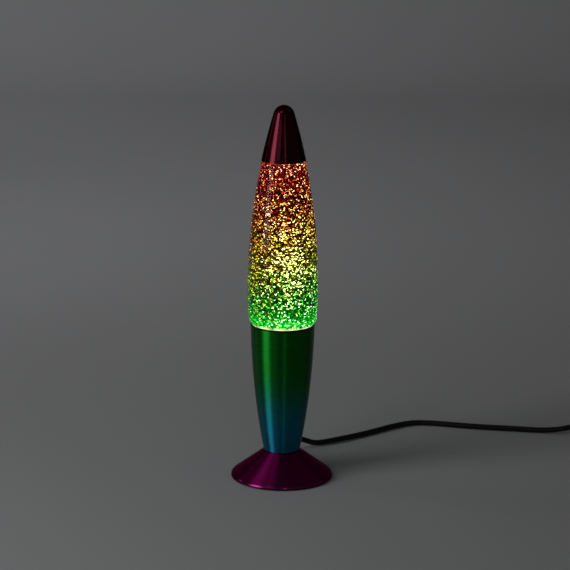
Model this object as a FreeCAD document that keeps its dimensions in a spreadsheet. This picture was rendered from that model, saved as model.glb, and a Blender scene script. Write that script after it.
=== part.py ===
import FreeCAD, Part
import math
import os
import re

import Sketcher

os.makedirs("parts", exist_ok=True)
doc = FreeCAD.newDocument("GlitterLamp")
Vec = FreeCAD.Vector

# Driving sizes in millimetres. The lamp stands on z = 0 with its axis on Z.
SIZES = {
    # spun foot
    "foot_radius": 53.2,
    "foot_height": 29.5,
    "foot_neck_radius": 19.2,
    "foot_wall": 1.0,
    "foot_corner": 1.2,
    "foot_corner_drop": 0.4,
    "foot_corner_radius": 2.0,
    "rim_height": 4.6,
    "rim_round": 1.6,
    "rim_round_radius": 3.85,
    "rim_side": 1.5,
    "rim_lift": 0.6,
    "rim_edge": 0.4,
    # closing plate under the foot
    "pad_inset": 4.2,
    "pad_thickness": 2.0,
    "plate_gap": 0.8,
    "plate_thickness": 1.2,
    "plate_screw_place": 18.0,
    "plate_screw_radius": 1.5,
    "plate_screw_length": 5.0,
    "plate_head_radius": 2.8,
    "plate_head_height": 1.7,
    "plate_head_room": 1.2,
    "screw_hole_room": 0.2,
    # bracket inside the foot
    "bracket_width": 16.0,
    "bracket_thickness": 1.5,
    "bracket_half_span": 13.0,
    "bracket_toe": 9.0,
    "bracket_bend": 1.5,
    # threaded tube and what it clamps
    "nipple_radius": 5.0,
    "nipple_bore": 3.5,
    "nipple_tail": 2.5,
    "nipple_room": 0.1,
    "nut_across": 14.0,
    "nut_thickness": 3.0,
    "lock_washer_radius": 8.5,
    "lock_washer_thickness": 0.8,
    "cup_washer_radius": 9.5,
    "cup_washer_thickness": 1.0,
    # spun cup
    "cup_height": 136.5,
    "cup_bottom_radius": 19.3,
    "cup_rim_radius": 33.3,
    "cup_bow_radius": 770.0,
    "cup_wall": 1.0,
    "cup_corner": 1.6,
    "cup_bead": 0.6,
    # cord and its bushing
    "cord_radius": 3.0,
    "cord_room": 0.12,
    "cord_exit_height": 14.0,
    "bushing_radius": 5.2,
    "bushing_flange_radius": 7.5,
    "bushing_flange": 2.0,
    "bushing_depth": 27.7,
    "bushing_length": 26.5,
    "bushing_tip_radius": 4.3,
    "bushing_taper": 5.0,
    "sheath_inside": 5.5,
    "core_radius": 1.1,
    "core_spacing": 1.25,
    "core_bend": 10.0,
    "core_fan_bend": 3.0,
    "core_gap": 0.3,
    # lamp holder
    "holder_radius": 13.0,
    "holder_base_radius": 13.2,
    "holder_base_foot": 9.5,
    "holder_base_shoulder": 6.5,
    "holder_base_height": 17.0,
    "holder_floor": 10.0,
    "holder_wall": 2.0,
    "skirt_radius": 15.0,
    "skirt_height": 6.0,
    "skirt_overlap": 4.0,
    "skirt_slope": 1.5,
    "skirt_room": 0.2,
    "sleeve_height": 27.0,
    "sleeve_bore": 10.4,
    "sleeve_mouth": 8.8,
    "sleeve_lip": 2.0,
    "core_flange": 2.0,
    "core_height": 5.0,
    "core_block_radius": 10.0,
    "shell_radius": 7.2,
    "shell_wall": 0.4,
    "shell_height": 19.5,
    "shell_flange": 9.4,
    "contact_width": 4.0,
    "contact_thickness": 0.5,
    "contact_reach": 5.5,
    "contact_heel": 2.2,
    "contact_tip": 1.8,
    "contact_rise": 2.7,
    "terminal_place": 7.5,
    "terminal_radius": 2.2,
    "terminal_height": 3.0,
    # reflector bulb
    "bulb_seat_gap": 0.3,
    "bulb_length": 67.0,
    "bulb_button_radius": 3.0,
    "bulb_button_flat": 1.6,
    "bulb_button_height": 1.5,
    "bulb_insulator_radius": 6.4,
    "bulb_insulator_height": 3.6,
    "bulb_cap_radius": 6.95,
    "bulb_cap_wall": 0.35,
    "bulb_cap_start": 4.3,
    "bulb_cap_straight": 20.5,
    "bulb_flare_radius": 8.2,
    "bulb_cap_height": 24.0,
    "bulb_glass_start": 22.7,
    "bulb_neck_radius": 7.0,
    "bulb_throat": 28.5,
    "bulb_throat_radius": 7.4,
    "bulb_radius": 19.5,
    "bulb_belly_drop": 8.0,
    "bulb_side_radius": 40.0,
    "bulb_corner_radius": 7.0,
    "bulb_face_radius": 16.0,
    "bulb_face_rise": 4.5,
    "bulb_wall": 0.9,
    "stem_radius": 5.9,
    "pinch_radius": 4.2,
    "pinch_start": 5.0,
    "stem_height": 15.0,
    "filament_radius": 0.35,
    "filament_half_span": 3.4,
    "filament_rise": 9.0,
    "filament_bend": 1.8,
    # glass bottle
    "globe_height": 172.0,
    "bottle_wall": 2.4,
    "bottle_depth": 26.0,
    "bottle_base_radius": 29.3,
    "bottle_heel": 5.0,
    "punt_radius": 22.0,
    "punt_height": 3.0,
    "seat_inset": 0.7,
    "belly_start": 5.5,
    "belly_low_radius": 35.35,
    "belly_low_round": 7.0,
    "belly_top_radius": 23.0,
    "belly_bow_radius": 606.0,
    "belly_end": 2.5,
    "shoulder_radius": 21.4,
    "shoulder_round": 3.0,
    "shoulder_lift": 0.2,
    "neck_radius": 12.4,
    "neck_bore": 9.6,
    "neck_start": 8.5,
    "finish_radius": 13.3,
    "finish_start": 14.0,
    "finish_step": 0.6,
    "lip_height": 21.0,
    "fill_level": 12.0,
    "fill_gap": 0.3,
    # crown closure
    "liner_radius": 12.4,
    "liner_thickness": 0.6,
    "crown_wall": 0.5,
    "crown_skirt": 5.1,
    "crown_bore": 13.5,
    "crown_flare_radius": 15.2,
    "crown_side_radius": 14.2,
    "crown_side_drop": 1.4,
    "crown_top_radius": 12.0,
    "crown_corner_radius": 2.9,
    "crown_flute_radius": 0.95,
    # bullet cap
    "cap_height": 57.0,
    "cap_radius": 23.0,
    "cap_side_radius": 595.0,
    "cap_shoulder_radius": 10.55,
    "cap_shoulder_depth": 8.0,
    "cap_wall": 0.8,
    # switch on the cord
    "switch_x": 375.0,
    "switch_y": 151.0,
    "switch_length": 60.0,
    "switch_width": 23.0,
    "switch_height": 18.0,
    "switch_nose": 12.0,
    "switch_end_width": 11.0,
    "switch_wall": 1.8,
    "switch_edge": 2.0,
    "cavity_length": 34.0,
    "cavity_width": 19.0,
    "window_length": 21.6,
    "window_width": 10.8,
    "rocker_width": 10.2,
    "rocker_half": 9.6,
    "rocker_corner_rise": 4.8,
    "rocker_centre_rise": 3.4,
    "rocker_side_drop": 1.5,
    "rocker_keel": 3.2,
    "rocker_keel_half": 3.0,
    "rocker_side_half": 7.5,
    "rocker_tilt": 12.0,
    "rocker_axle_height": 14.5,
    "axle_radius": 1.2,
    "axle_room": 0.08,
    "post_place": 7.4,
    "post_width": 3.0,
    "post_depth": 5.0,
    "post_gap": 0.35,
    "switch_screw_x": 20.0,
    "switch_screw_y": 6.0,
    "switch_screw_radius": 1.2,
    "switch_screw_length": 11.0,
    "switch_head_radius": 2.4,
    "switch_head_height": 1.4,
    "switch_head_depth": 2.0,
    # coil and plug
    "coil_x": 455.0,
    "coil_inner_radius": 26.0,
    "coil_step": 6.6,
    "plug_x": 360.0,
    "plug_width": 35.0,
    "plug_thickness": 13.7,
    "plug_bevel": 7.0,
    "plug_edge": 5.2,
    "plug_face_length": 20.0,
    "plug_length": 36.0,
    "plug_rear_scale": 0.46,
    "plug_pin_radius": 2.0,
    "plug_pin_length": 19.0,
    "plug_pin_spacing": 18.6,
    "boot_radius": 5.2,
    "boot_tip_radius": 4.2,
    "boot_length": 15.0,
    "boot_groove": 0.9,
}
CROWN_FLUTES = 21
COIL_TURNS = 4.5

sheet = doc.addObject("Spreadsheet::Sheet", "Sizes")
for row, (size_name, size) in enumerate(SIZES.items(), start=1):
    sheet.set("A%d" % row, size_name)
    sheet.set("B%d" % row, str(size))
    sheet.setAlias("B%d" % row, size_name)
doc.recompute()

# Levels that the sizes stack up to
PLATE_TOP = "(pad_thickness + plate_thickness)"
FOOT_INSIDE = "(foot_height - foot_wall)"
TAB_BOTTOM = f"({FOOT_INSIDE} - bracket_thickness)"
NUT_TOP = f"({TAB_BOTTOM} - lock_washer_thickness)"
NUT_BOTTOM = f"({NUT_TOP} - nut_thickness)"
NIPPLE_BOTTOM = f"({NUT_BOTTOM} - nipple_tail)"
NIPPLE_HOLE = "(nipple_radius + nipple_room)"
RIM_INSIDE = "(foot_radius - foot_wall)"
PAD_RADIUS = "(foot_radius - pad_inset)"
PLATE_RADIUS = f"({RIM_INSIDE} - plate_gap)"
BUSHING_START = "(foot_radius - bushing_depth)"
BUSHING_END = f"({BUSHING_START} + bushing_length)"
SHEATH_END = f"({BUSHING_START} - sheath_inside)"
CUP_FLOOR = "(foot_height + cup_wall)"
CUP_RIM = "(foot_height + cup_height)"
HOLDER_SEAT = f"({CUP_FLOOR} + cup_washer_thickness)"
CORE_SEAT = f"({HOLDER_SEAT} + holder_base_height)"
CORE_TOP = f"({CORE_SEAT} + core_height)"
BULB_SEAT = f"({CORE_TOP} + contact_rise + bulb_seat_gap)"
BOTTLE_BASE = f"({CUP_RIM} - bottle_depth)"
CAP_RIM = f"({CUP_RIM} + globe_height)"
LIP = f"({CAP_RIM} + lip_height)"
CROWN_TOP = f"({LIP} + liner_thickness + crown_wall)"
CAP_TIP = f"({CAP_RIM} + cap_height)"

kept = []


def bound(text):
    """An expression on the sheet, from one written with bare size names."""
    def named(word):
        return "Sizes." + word.group() if word.group() in SIZES else word.group()
    return re.sub(r"[a-z_]+", named, text)


def value(text):
    result = sheet.evalExpression(text)
    return float(getattr(result, "Value", result))


def keep(solid, label):
    solid.Label = label
    kept.append(solid)
    return solid


def put(solid, x="0", y="0", z="0"):
    for axis, place in (("x", x), ("y", y), ("z", z)):
        solid.setExpression("Placement.Base." + axis, bound(place))


def new_body(label):
    return keep(doc.addObject("PartDesign::Body", label + "_body"), label)


def new_sketch(body, name, role, level="0"):
    sketch = body.newObject("Sketcher::SketchObject", name)
    plane = [feature for feature in body.Origin.OriginFeatures if feature.Role == role][0]
    sketch.AttachmentSupport = [(plane, "")]
    sketch.MapMode = "FlatFace"
    sketch.setExpression("AttachmentOffset.Base.z", bound(level))
    return sketch


def hold_point(sketch, edge, end, x, y):
    for text, kind, axis in ((x, "DistanceX", -2), (y, "DistanceY", -1)):
        if text == "0":
            sketch.addConstraint(Sketcher.Constraint("PointOnObject", edge, end, axis))
        else:
            number = sketch.addConstraint(Sketcher.Constraint(kind, -1, 1, edge, end, value(text)))
            sketch.setExpression("Constraints[%d]" % number, bound(text))


def hold_radius(sketch, edge, radius):
    number = sketch.addConstraint(Sketcher.Constraint("Radius", edge, value(radius)))
    sketch.setExpression("Constraints[%d]" % number, bound(radius))


def arc_between(start, end, radius, centre_side):
    """The short arc from start to end, its centre left or right of the way."""
    chord = end - start
    reach = math.sqrt(radius ** 2 - chord.Length ** 2 / 4)
    left = Vec(-chord.y, chord.x, 0) / chord.Length
    centre = (start + end) / 2 + left * (reach if centre_side == "left" else -reach)
    first, last = (start, end) if centre_side == "left" else (end, start)
    from_angle = math.atan2(first.y - centre.y, first.x - centre.x)
    to_angle = math.atan2(last.y - centre.y, last.x - centre.x)
    if to_angle < from_angle:
        to_angle += 2 * math.pi
    return Part.ArcOfCircle(Part.Circle(centre, Vec(0, 0, 1), radius), from_angle, to_angle)


def draw_outline(sketch, corners):
    """Closed outline. A corner is x, y and, where an arc leaves it, radius and centre side."""
    points = [Vec(value(corner[0]), value(corner[1]), 0) for corner in corners]
    ends = []
    for index, corner in enumerate(corners):
        start = points[index]
        end = points[(index + 1) % len(corners)]
        if len(corner) == 2:
            sketch.addGeometry(Part.LineSegment(start, end), False)
            ends.append((1, 2))
        else:
            sketch.addGeometry(arc_between(start, end, value(corner[2]), corner[3]), False)
            ends.append((1, 2) if corner[3] == "left" else (2, 1))
    for index, corner in enumerate(corners):
        following = (index + 1) % len(corners)
        joint = Sketcher.Constraint("Coincident", index, ends[index][1], following, ends[following][0])
        sketch.addConstraint(joint)
        hold_point(sketch, index, ends[index][0], corner[0], corner[1])
        if len(corner) == 4:
            hold_radius(sketch, index, corner[2])


def draw_circles(sketch, circles):
    for x, y, radius in circles:
        circle = Part.Circle(Vec(value(x), value(y), 0), Vec(0, 0, 1), value(radius))
        edge = sketch.addGeometry(circle, False)
        hold_point(sketch, edge, 3, x, y)
        hold_radius(sketch, edge, radius)


def turned(label, corners):
    """A body turned about its Z axis from an outline in radius and height."""
    body = new_body(label)
    sketch = new_sketch(body, label + "_outline", "XZ_Plane")
    draw_outline(sketch, corners)
    turn = body.newObject("PartDesign::Revolution", label + "_turn")
    turn.Profile = sketch
    turn.ReferenceAxis = (sketch, ["V_Axis"])
    turn.Angle = 360
    doc.recompute()
    return body


def padded(label, role, corners, length, circles=(), level="0", midplane=False):
    body = new_body(label)
    sketch = new_sketch(body, label + "_outline", role, level)
    draw_outline(sketch, corners)
    draw_circles(sketch, circles)
    pad = body.newObject("PartDesign::Pad", label + "_pad")
    pad.Profile = sketch
    pad.Midplane = midplane
    pad.setExpression("Length", bound(length))
    doc.recompute()
    return body


def cut(body, name, role, circles=(), corners=(), level="0", depth=None, reverse=False):
    """A pocket, through all where no depth is given, that must take material away."""
    before = body.Shape.Volume
    sketch = new_sketch(body, name + "_outline", role, level)
    draw_outline(sketch, corners)
    draw_circles(sketch, circles)
    pocket = body.newObject("PartDesign::Pocket", name)
    pocket.Profile = sketch
    pocket.Reversed = reverse
    if depth is None:
        pocket.Type = "ThroughAll"
    else:
        pocket.setExpression("Length", bound(depth))
    doc.recompute()
    if body.Shape.Volume > before - 0.01:
        raise ValueError(name + " takes nothing away")
    return pocket


def round_edges(body, name, radius, chosen):
    base = body.Tip
    edges = ["Edge%d" % (index + 1) for index, edge in enumerate(base.Shape.Edges) if chosen(edge)]
    fillet = body.newObject("PartDesign::Fillet", name)
    fillet.Base = (base, edges)
    fillet.Radius = value(radius)
    fillet.setExpression("Radius", bound(radius))
    doc.recompute()


def level_edge(edge, level):
    box = edge.BoundBox
    return abs(box.ZMin - level) < 0.001 and abs(box.ZMax - level) < 0.001


def cylinder(name, radius, height, x="0", y="0", z="0", axis=Vec(0, 0, 1)):
    solid = doc.addObject("Part::Cylinder", name)
    solid.setExpression("Radius", bound(radius))
    solid.setExpression("Height", bound(height))
    solid.Placement.Rotation = FreeCAD.Rotation(Vec(0, 0, 1), axis)
    put(solid, x, y, z)
    return solid


def joined(kind, name, first, second):
    result = doc.addObject(kind, name)
    result.Base = first
    result.Tool = second
    return result


def group(label, solids):
    compound = doc.addObject("Part::Compound", label + "_group")
    compound.Links = solids
    return keep(compound, label)


def screw(name, x, y, head_bottom, head_radius, head_height, shank_radius, shank_length):
    """A screw that points up, with its head below."""
    head = cylinder(name + "_head", head_radius, head_height, x, y, head_bottom)
    shank = cylinder(name + "_shank", shank_radius, f"{head_height} + {shank_length}", x, y, head_bottom)
    return joined("Part::Fuse", name, head, shank)


def turn_at(before, corner, after):
    """The angle of a corner's turn and the directions on both sides."""
    inward = (corner - before).normalize()
    outward = (after - corner).normalize()
    return math.acos(max(-1, min(1, inward.dot(outward)))), inward, outward


def route_wire(points, radii=None):
    """Straight runs joined by tangent arcs, as large as the runs allow or as given."""
    edges = []
    here = points[0]
    smallest = None
    for index in range(1, len(points) - 1):
        corner = points[index]
        turn, inward, outward = turn_at(points[index - 1], corner, points[index + 1])
        shorter = min((corner - points[index - 1]).Length, (points[index + 1] - corner).Length)
        radius = radii[index - 1] if radii else 0.45 * shorter / math.tan(turn / 2)
        reach = radius * math.tan(turn / 2)
        arc_start = corner - inward * reach
        arc_end = corner + outward * reach
        arc_middle = corner + (outward - inward).normalize() * (radius / math.cos(turn / 2) - radius)
        edges.append(Part.LineSegment(here, arc_start).toShape())
        edges.append(Part.Arc(arc_start, arc_middle, arc_end).toShape())
        here = arc_end
        smallest = radius if smallest is None else min(smallest, radius)
    edges.append(Part.LineSegment(here, points[-1]).toShape())
    return Part.Wire(edges), smallest


def pipe(wire, radius):
    first = wire.Edges[0]
    start = first.valueAt(first.FirstParameter)
    direction = first.tangentAt(first.FirstParameter)
    maker = Part.BRepOffsetAPI.MakePipeShell(wire)
    maker.add(Part.Wire(Part.Circle(start, direction, radius).toShape()))
    maker.build()
    maker.makeSolid()
    return maker.shape()


def cord_piece(label, wire, radius, smallest):
    solid = keep(doc.addObject("Part::Feature", label + "_tube"), label)
    solid.Shape = pipe(wire, radius)
    solid.Placement = FreeCAD.Placement()
    expected = math.pi * radius ** 2 * wire.Length
    print("%s: length %.1f, smallest radius %.1f, volume %.4f of section times length"
          % (label, wire.Length, smallest, solid.Shape.Volume / expected))
    return wire.Length


# Foot: a spun cone with a flat top and a rounded rim
CONE_TOP = "(foot_height - foot_corner_drop)"
CONE_RISE = f"({CONE_TOP} - rim_height)"
CONE_RUN = "(foot_radius - rim_round - foot_neck_radius)"
CONE_SLOPE = f"({CONE_RISE} / {CONE_RUN})"
CONE_DROP = f"(foot_wall * sqrt({CONE_RISE} ^ 2 + {CONE_RUN} ^ 2) / {CONE_RUN})"
foot_shell = turned("foot_shell", [
    (NIPPLE_HOLE, FOOT_INSIDE),
    (f"foot_neck_radius + ({CONE_TOP} - {CONE_DROP} - {FOOT_INSIDE}) / {CONE_SLOPE}", FOOT_INSIDE),
    (RIM_INSIDE, f"{CONE_TOP} - {CONE_DROP} - ({RIM_INSIDE} - foot_neck_radius) * {CONE_SLOPE}"),
    (RIM_INSIDE, "rim_lift"),
    ("foot_radius - rim_edge", "rim_lift", "rim_edge", "left"),
    ("foot_radius", "rim_lift + rim_edge"),
    ("foot_radius", "rim_side", "rim_round_radius", "left"),
    ("foot_radius - rim_round", "rim_height"),
    ("foot_neck_radius", CONE_TOP, "foot_corner_radius", "left"),
    ("foot_neck_radius - foot_corner", "foot_height"),
    (NIPPLE_HOLE, "foot_height"),
])
cut(foot_shell, "cord_hole", "XZ_Plane", circles=[("0", "cord_exit_height", "bushing_radius")])

# Base pad, plate and their screws, under the bracket's toes
SCREW_PLACES = [("-plate_screw_place", "0"), ("plate_screw_place", "0")]
base_pad = turned("base_pad", [
    ("0", "0"),
    (PAD_RADIUS, "0"),
    (PAD_RADIUS, "pad_thickness"),
    ("0", "pad_thickness"),
])
cut(base_pad, "head_rooms", "XY_Plane", reverse=True,
    circles=[(x, y, "plate_head_radius + plate_head_room") for x, y in SCREW_PLACES])
bottom_plate = turned("bottom_plate", [
    ("0", "pad_thickness"),
    (PLATE_RADIUS, "pad_thickness"),
    (PLATE_RADIUS, PLATE_TOP),
    ("0", PLATE_TOP),
])
cut(bottom_plate, "plate_screw_holes", "XY_Plane", reverse=True,
    circles=[(x, y, "plate_screw_radius + screw_hole_room") for x, y in SCREW_PLACES])
group("plate_screws", [
    screw("plate_screw_%d" % number, x, y, "pad_thickness - plate_head_height", "plate_head_radius",
          "plate_head_height", "plate_screw_radius", "plate_screw_length")
    for number, (x, y) in enumerate(SCREW_PLACES)
])

# Bracket: a bent strip from the foot's top down to the plate
LEG = "(bracket_half_span - bracket_thickness)"
TOE = "(bracket_half_span + bracket_toe)"
foot_bracket = padded("foot_bracket", "XZ_Plane", [
    (f"-{TOE}", PLATE_TOP),
    (f"-{LEG}", PLATE_TOP),
    (f"-{LEG}", TAB_BOTTOM),
    (LEG, TAB_BOTTOM),
    (LEG, PLATE_TOP),
    (TOE, PLATE_TOP),
    (TOE, f"{PLATE_TOP} + bracket_thickness"),
    ("bracket_half_span", f"{PLATE_TOP} + bracket_thickness"),
    ("bracket_half_span", FOOT_INSIDE),
    ("-bracket_half_span", FOOT_INSIDE),
    ("-bracket_half_span", f"{PLATE_TOP} + bracket_thickness"),
    (f"-{TOE}", f"{PLATE_TOP} + bracket_thickness"),
], "bracket_width", midplane=True)


def bend_edges(spots):
    """Chooses the edges along Y that pass through the spots."""
    def chosen(edge):
        box = edge.BoundBox
        if box.XLength > 0.001 or box.ZLength > 0.001:
            return False
        return any(
            abs(abs(box.XMin) - value(x)) < 0.01 and abs(box.ZMin - value(z)) < 0.01
            for x, z in spots
        )
    return chosen


round_edges(foot_bracket, "outer_bends", "bracket_bend + bracket_thickness",
            bend_edges([("bracket_half_span", FOOT_INSIDE), (LEG, PLATE_TOP)]))
round_edges(foot_bracket, "inner_bends", "bracket_bend",
            bend_edges([(LEG, TAB_BOTTOM), ("bracket_half_span", f"{PLATE_TOP} + bracket_thickness")]))
cut(foot_bracket, "bracket_holes", "XY_Plane", reverse=True,
    circles=[(x, y, "plate_screw_radius") for x, y in SCREW_PLACES] + [("0", "0", NIPPLE_HOLE)])

# Threaded tube with its nut and washers
turned("nipple", [
    ("nipple_bore", NIPPLE_BOTTOM),
    ("nipple_radius", NIPPLE_BOTTOM),
    ("nipple_radius", f"{HOLDER_SEAT} + holder_floor"),
    ("nipple_bore", f"{HOLDER_SEAT} + holder_floor"),
])
nut_blank = doc.addObject("Part::Prism", "nut_blank")
nut_blank.Polygon = 6
nut_blank.setExpression("Circumradius", bound("nut_across / sqrt(3)"))
nut_blank.setExpression("Height", bound("nut_thickness"))
put(nut_blank, z=NUT_BOTTOM)
nut_bore = cylinder("nut_bore", NIPPLE_HOLE, "nut_thickness", z=NUT_BOTTOM)
keep(joined("Part::Cut", "nut", nut_blank, nut_bore), "nipple_nut")
turned("lock_washer", [
    (NIPPLE_HOLE, NUT_TOP),
    ("lock_washer_radius", NUT_TOP),
    ("lock_washer_radius", TAB_BOTTOM),
    (NIPPLE_HOLE, TAB_BOTTOM),
])
turned("cup_washer", [
    (NIPPLE_HOLE, CUP_FLOOR),
    ("cup_washer_radius", CUP_FLOOR),
    ("cup_washer_radius", HOLDER_SEAT),
    (NIPPLE_HOLE, HOLDER_SEAT),
])

# Cup: a bowed wall with a beaded rim
turned("cup_shell", [
    (NIPPLE_HOLE, "foot_height"),
    ("cup_bottom_radius - cup_corner", "foot_height", "cup_corner", "left"),
    ("cup_bottom_radius", "foot_height + cup_corner", "cup_bow_radius", "left"),
    ("cup_rim_radius", f"{CUP_RIM} - 2 * cup_bead", "cup_bead", "left"),
    ("cup_rim_radius + cup_bead", f"{CUP_RIM} - cup_bead", "cup_bead", "left"),
    ("cup_rim_radius", CUP_RIM),
    ("cup_rim_radius - cup_wall", CUP_RIM, "cup_bow_radius - cup_wall", "right"),
    ("cup_bottom_radius - cup_wall", "foot_height + cup_corner", "cup_corner - cup_wall", "right"),
    ("cup_bottom_radius - cup_corner", CUP_FLOOR),
    (NIPPLE_HOLE, CUP_FLOOR),
])

# Cord bushing, drawn upright and laid along +Y through the back of the foot
LAID_BACK = FreeCAD.Rotation(Vec(0, 0, 1), Vec(0, 1, 0))
BUSHING_BORE = "(cord_radius + cord_room)"
cord_bushing = turned("cord_bushing", [
    (BUSHING_BORE, BUSHING_START),
    ("bushing_flange_radius", BUSHING_START),
    ("bushing_flange_radius", f"{BUSHING_START} + bushing_flange"),
    ("bushing_radius", f"{BUSHING_START} + bushing_flange"),
    ("bushing_radius", f"{BUSHING_END} - bushing_taper"),
    ("bushing_tip_radius", BUSHING_END),
    (BUSHING_BORE, BUSHING_END),
])
cord_bushing.Placement.Rotation = LAID_BACK
put(cord_bushing, z="cord_exit_height")

# Cord inside the foot, and its two cores up through the threaded tube
cord_stub = cylinder("cord_stub", "cord_radius", f"{BUSHING_END} - {SHEATH_END}", y=SHEATH_END,
                     z="cord_exit_height", axis=Vec(0, 1, 0))
keep(cord_stub, "cord_inner")
for label, side in (("conductor_live", -1), ("conductor_neutral", 1)):
    beside = side * value("core_spacing")
    flared = side * value("terminal_place - terminal_radius - core_radius - core_gap")
    level = value("cord_exit_height")
    fan_start = value(f"{HOLDER_SEAT} + holder_floor + core_radius")
    core_points = [
        Vec(beside, value(SHEATH_END), level),
        Vec(beside, 0, level),
        Vec(beside, 0, fan_start),
        Vec(flared, 0, value(f"{CORE_SEAT} - terminal_height / 2")),
        Vec(flared, 0, value(CORE_SEAT)),
    ]
    core_bends = [value("core_bend"), value("core_fan_bend"), value("core_fan_bend")]
    core_wire, core_smallest = route_wire(core_points, core_bends)
    cord_piece(label, core_wire, value("core_radius"), core_smallest)

# Lamp holder: base, contact block, sleeve and contacts
turned("holder_base", [
    (NIPPLE_HOLE, HOLDER_SEAT),
    ("holder_base_foot", HOLDER_SEAT),
    ("holder_base_radius", f"{HOLDER_SEAT} + holder_base_shoulder"),
    ("holder_base_radius", CORE_SEAT),
    ("holder_base_radius - holder_wall", CORE_SEAT),
    ("holder_base_radius - holder_wall", f"{HOLDER_SEAT} + holder_floor"),
    (NIPPLE_HOLE, f"{HOLDER_SEAT} + holder_floor"),
])
turned("holder_core", [
    ("0", CORE_SEAT),
    ("holder_base_radius", CORE_SEAT),
    ("holder_base_radius", f"{CORE_SEAT} + core_flange"),
    ("core_block_radius", f"{CORE_SEAT} + core_flange"),
    ("core_block_radius", CORE_TOP),
    ("0", CORE_TOP),
])
SKIRT_BORE = "(holder_base_radius + skirt_room)"
SKIRT_STEP = f"({CORE_SEAT} + core_flange + skirt_room)"
SKIRT_BOTTOM = f"({CORE_SEAT} - skirt_overlap)"
SLEEVE_TOP = f"({SKIRT_STEP} + sleeve_height)"
turned("holder_sleeve", [
    (SKIRT_BORE, SKIRT_BOTTOM),
    ("skirt_radius", SKIRT_BOTTOM),
    ("skirt_radius", f"{SKIRT_BOTTOM} + skirt_height"),
    ("holder_radius", f"{SKIRT_BOTTOM} + skirt_height + skirt_slope"),
    ("holder_radius", SLEEVE_TOP),
    ("sleeve_mouth", SLEEVE_TOP),
    ("sleeve_mouth", f"{SLEEVE_TOP} - sleeve_lip"),
    ("sleeve_bore", f"{SLEEVE_TOP} - sleeve_lip"),
    ("sleeve_bore", SKIRT_STEP),
    (SKIRT_BORE, SKIRT_STEP),
])
turned("screw_shell", [
    ("shell_radius", CORE_TOP),
    ("shell_flange", CORE_TOP),
    ("shell_flange", f"{CORE_TOP} + shell_wall"),
    ("shell_radius + shell_wall", f"{CORE_TOP} + shell_wall"),
    ("shell_radius + shell_wall", f"{CORE_TOP} + shell_height"),
    ("shell_radius", f"{CORE_TOP} + shell_height"),
])
padded("centre_contact", "XZ_Plane", [
    ("-contact_reach", CORE_TOP),
    ("-contact_heel", CORE_TOP),
    ("contact_tip", f"{CORE_TOP} + contact_rise - contact_thickness"),
    ("contact_tip", f"{CORE_TOP} + contact_rise"),
    ("-contact_heel", f"{CORE_TOP} + contact_thickness"),
    ("-contact_reach", f"{CORE_TOP} + contact_thickness"),
], "contact_width", midplane=True)
group("terminal_screws", [
    cylinder("terminal_screw_%d" % number, "terminal_radius", "terminal_height", x, "0",
             f"{CORE_SEAT} - terminal_height")
    for number, x in enumerate(("-terminal_place", "terminal_place"))
])

# Bulb: button, insulator, screw cap, glass and filament
BULB_TOP = f"({BULB_SEAT} + bulb_length)"
BULB_BELLY = f"({BULB_TOP} - bulb_face_rise - bulb_belly_drop)"
BUTTON_TOP = f"({BULB_SEAT} + bulb_button_height)"
INSULATOR_TOP = f"({BUTTON_TOP} + bulb_insulator_height)"
BULB_CAP_INSIDE = "(bulb_cap_radius - bulb_cap_wall)"
GLASS_START = f"({BULB_SEAT} + bulb_glass_start)"
FACE_ROUND = "((bulb_face_radius ^ 2 + bulb_face_rise ^ 2) / (2 * bulb_face_rise))"
INNER_FACE = "(bulb_face_radius - bulb_wall / 2)"
INNER_FACE_ROUND = f"(({INNER_FACE} ^ 2 + bulb_face_rise ^ 2) / (2 * bulb_face_rise))"
turned("bulb_contact", [
    ("0", BULB_SEAT),
    ("bulb_button_flat", BULB_SEAT),
    ("bulb_button_radius", f"{BULB_SEAT} + bulb_button_height / 2"),
    ("bulb_button_radius", BUTTON_TOP),
    ("0", BUTTON_TOP),
])
turned("bulb_insulator", [
    ("0", BUTTON_TOP),
    ("bulb_button_radius + bulb_cap_wall", BUTTON_TOP),
    ("bulb_insulator_radius", f"{INSULATOR_TOP} - bulb_insulator_height / 4"),
    ("bulb_insulator_radius", INSULATOR_TOP),
    ("0", INSULATOR_TOP),
])
turned("bulb_cap", [
    (BULB_CAP_INSIDE, f"{BULB_SEAT} + bulb_cap_start"),
    ("bulb_cap_radius", f"{BULB_SEAT} + bulb_cap_start"),
    ("bulb_cap_radius", f"{BULB_SEAT} + bulb_cap_straight"),
    ("bulb_flare_radius", f"{BULB_SEAT} + bulb_cap_height"),
    ("bulb_flare_radius - bulb_cap_wall", f"{BULB_SEAT} + bulb_cap_height"),
    (BULB_CAP_INSIDE, f"{BULB_SEAT} + bulb_cap_straight"),
])
turned("bulb_glass", [
    ("bulb_neck_radius - bulb_wall", GLASS_START),
    ("bulb_neck_radius", GLASS_START),
    ("bulb_throat_radius", f"{BULB_SEAT} + bulb_throat", "bulb_side_radius", "left"),
    ("bulb_radius", BULB_BELLY, "bulb_corner_radius", "left"),
    ("bulb_face_radius", f"{BULB_TOP} - bulb_face_rise", FACE_ROUND, "left"),
    ("0", BULB_TOP),
    ("0", f"{BULB_TOP} - bulb_wall", INNER_FACE_ROUND, "right"),
    (INNER_FACE, f"{BULB_TOP} - bulb_face_rise - bulb_wall", "bulb_corner_radius - bulb_wall", "right"),
    ("bulb_radius - bulb_wall", BULB_BELLY, "bulb_side_radius - bulb_wall", "right"),
    ("bulb_throat_radius - bulb_wall", f"{BULB_SEAT} + bulb_throat"),
])
turned("bulb_stem", [
    ("0", GLASS_START),
    ("stem_radius", GLASS_START),
    ("pinch_radius", f"{GLASS_START} + pinch_start"),
    ("pinch_radius", f"{GLASS_START} + stem_height"),
    ("0", f"{GLASS_START} + stem_height"),
])
wire_foot = value(f"{GLASS_START} + stem_height")
wire_top = wire_foot + value("filament_rise")
half_span = value("filament_half_span")
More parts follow.
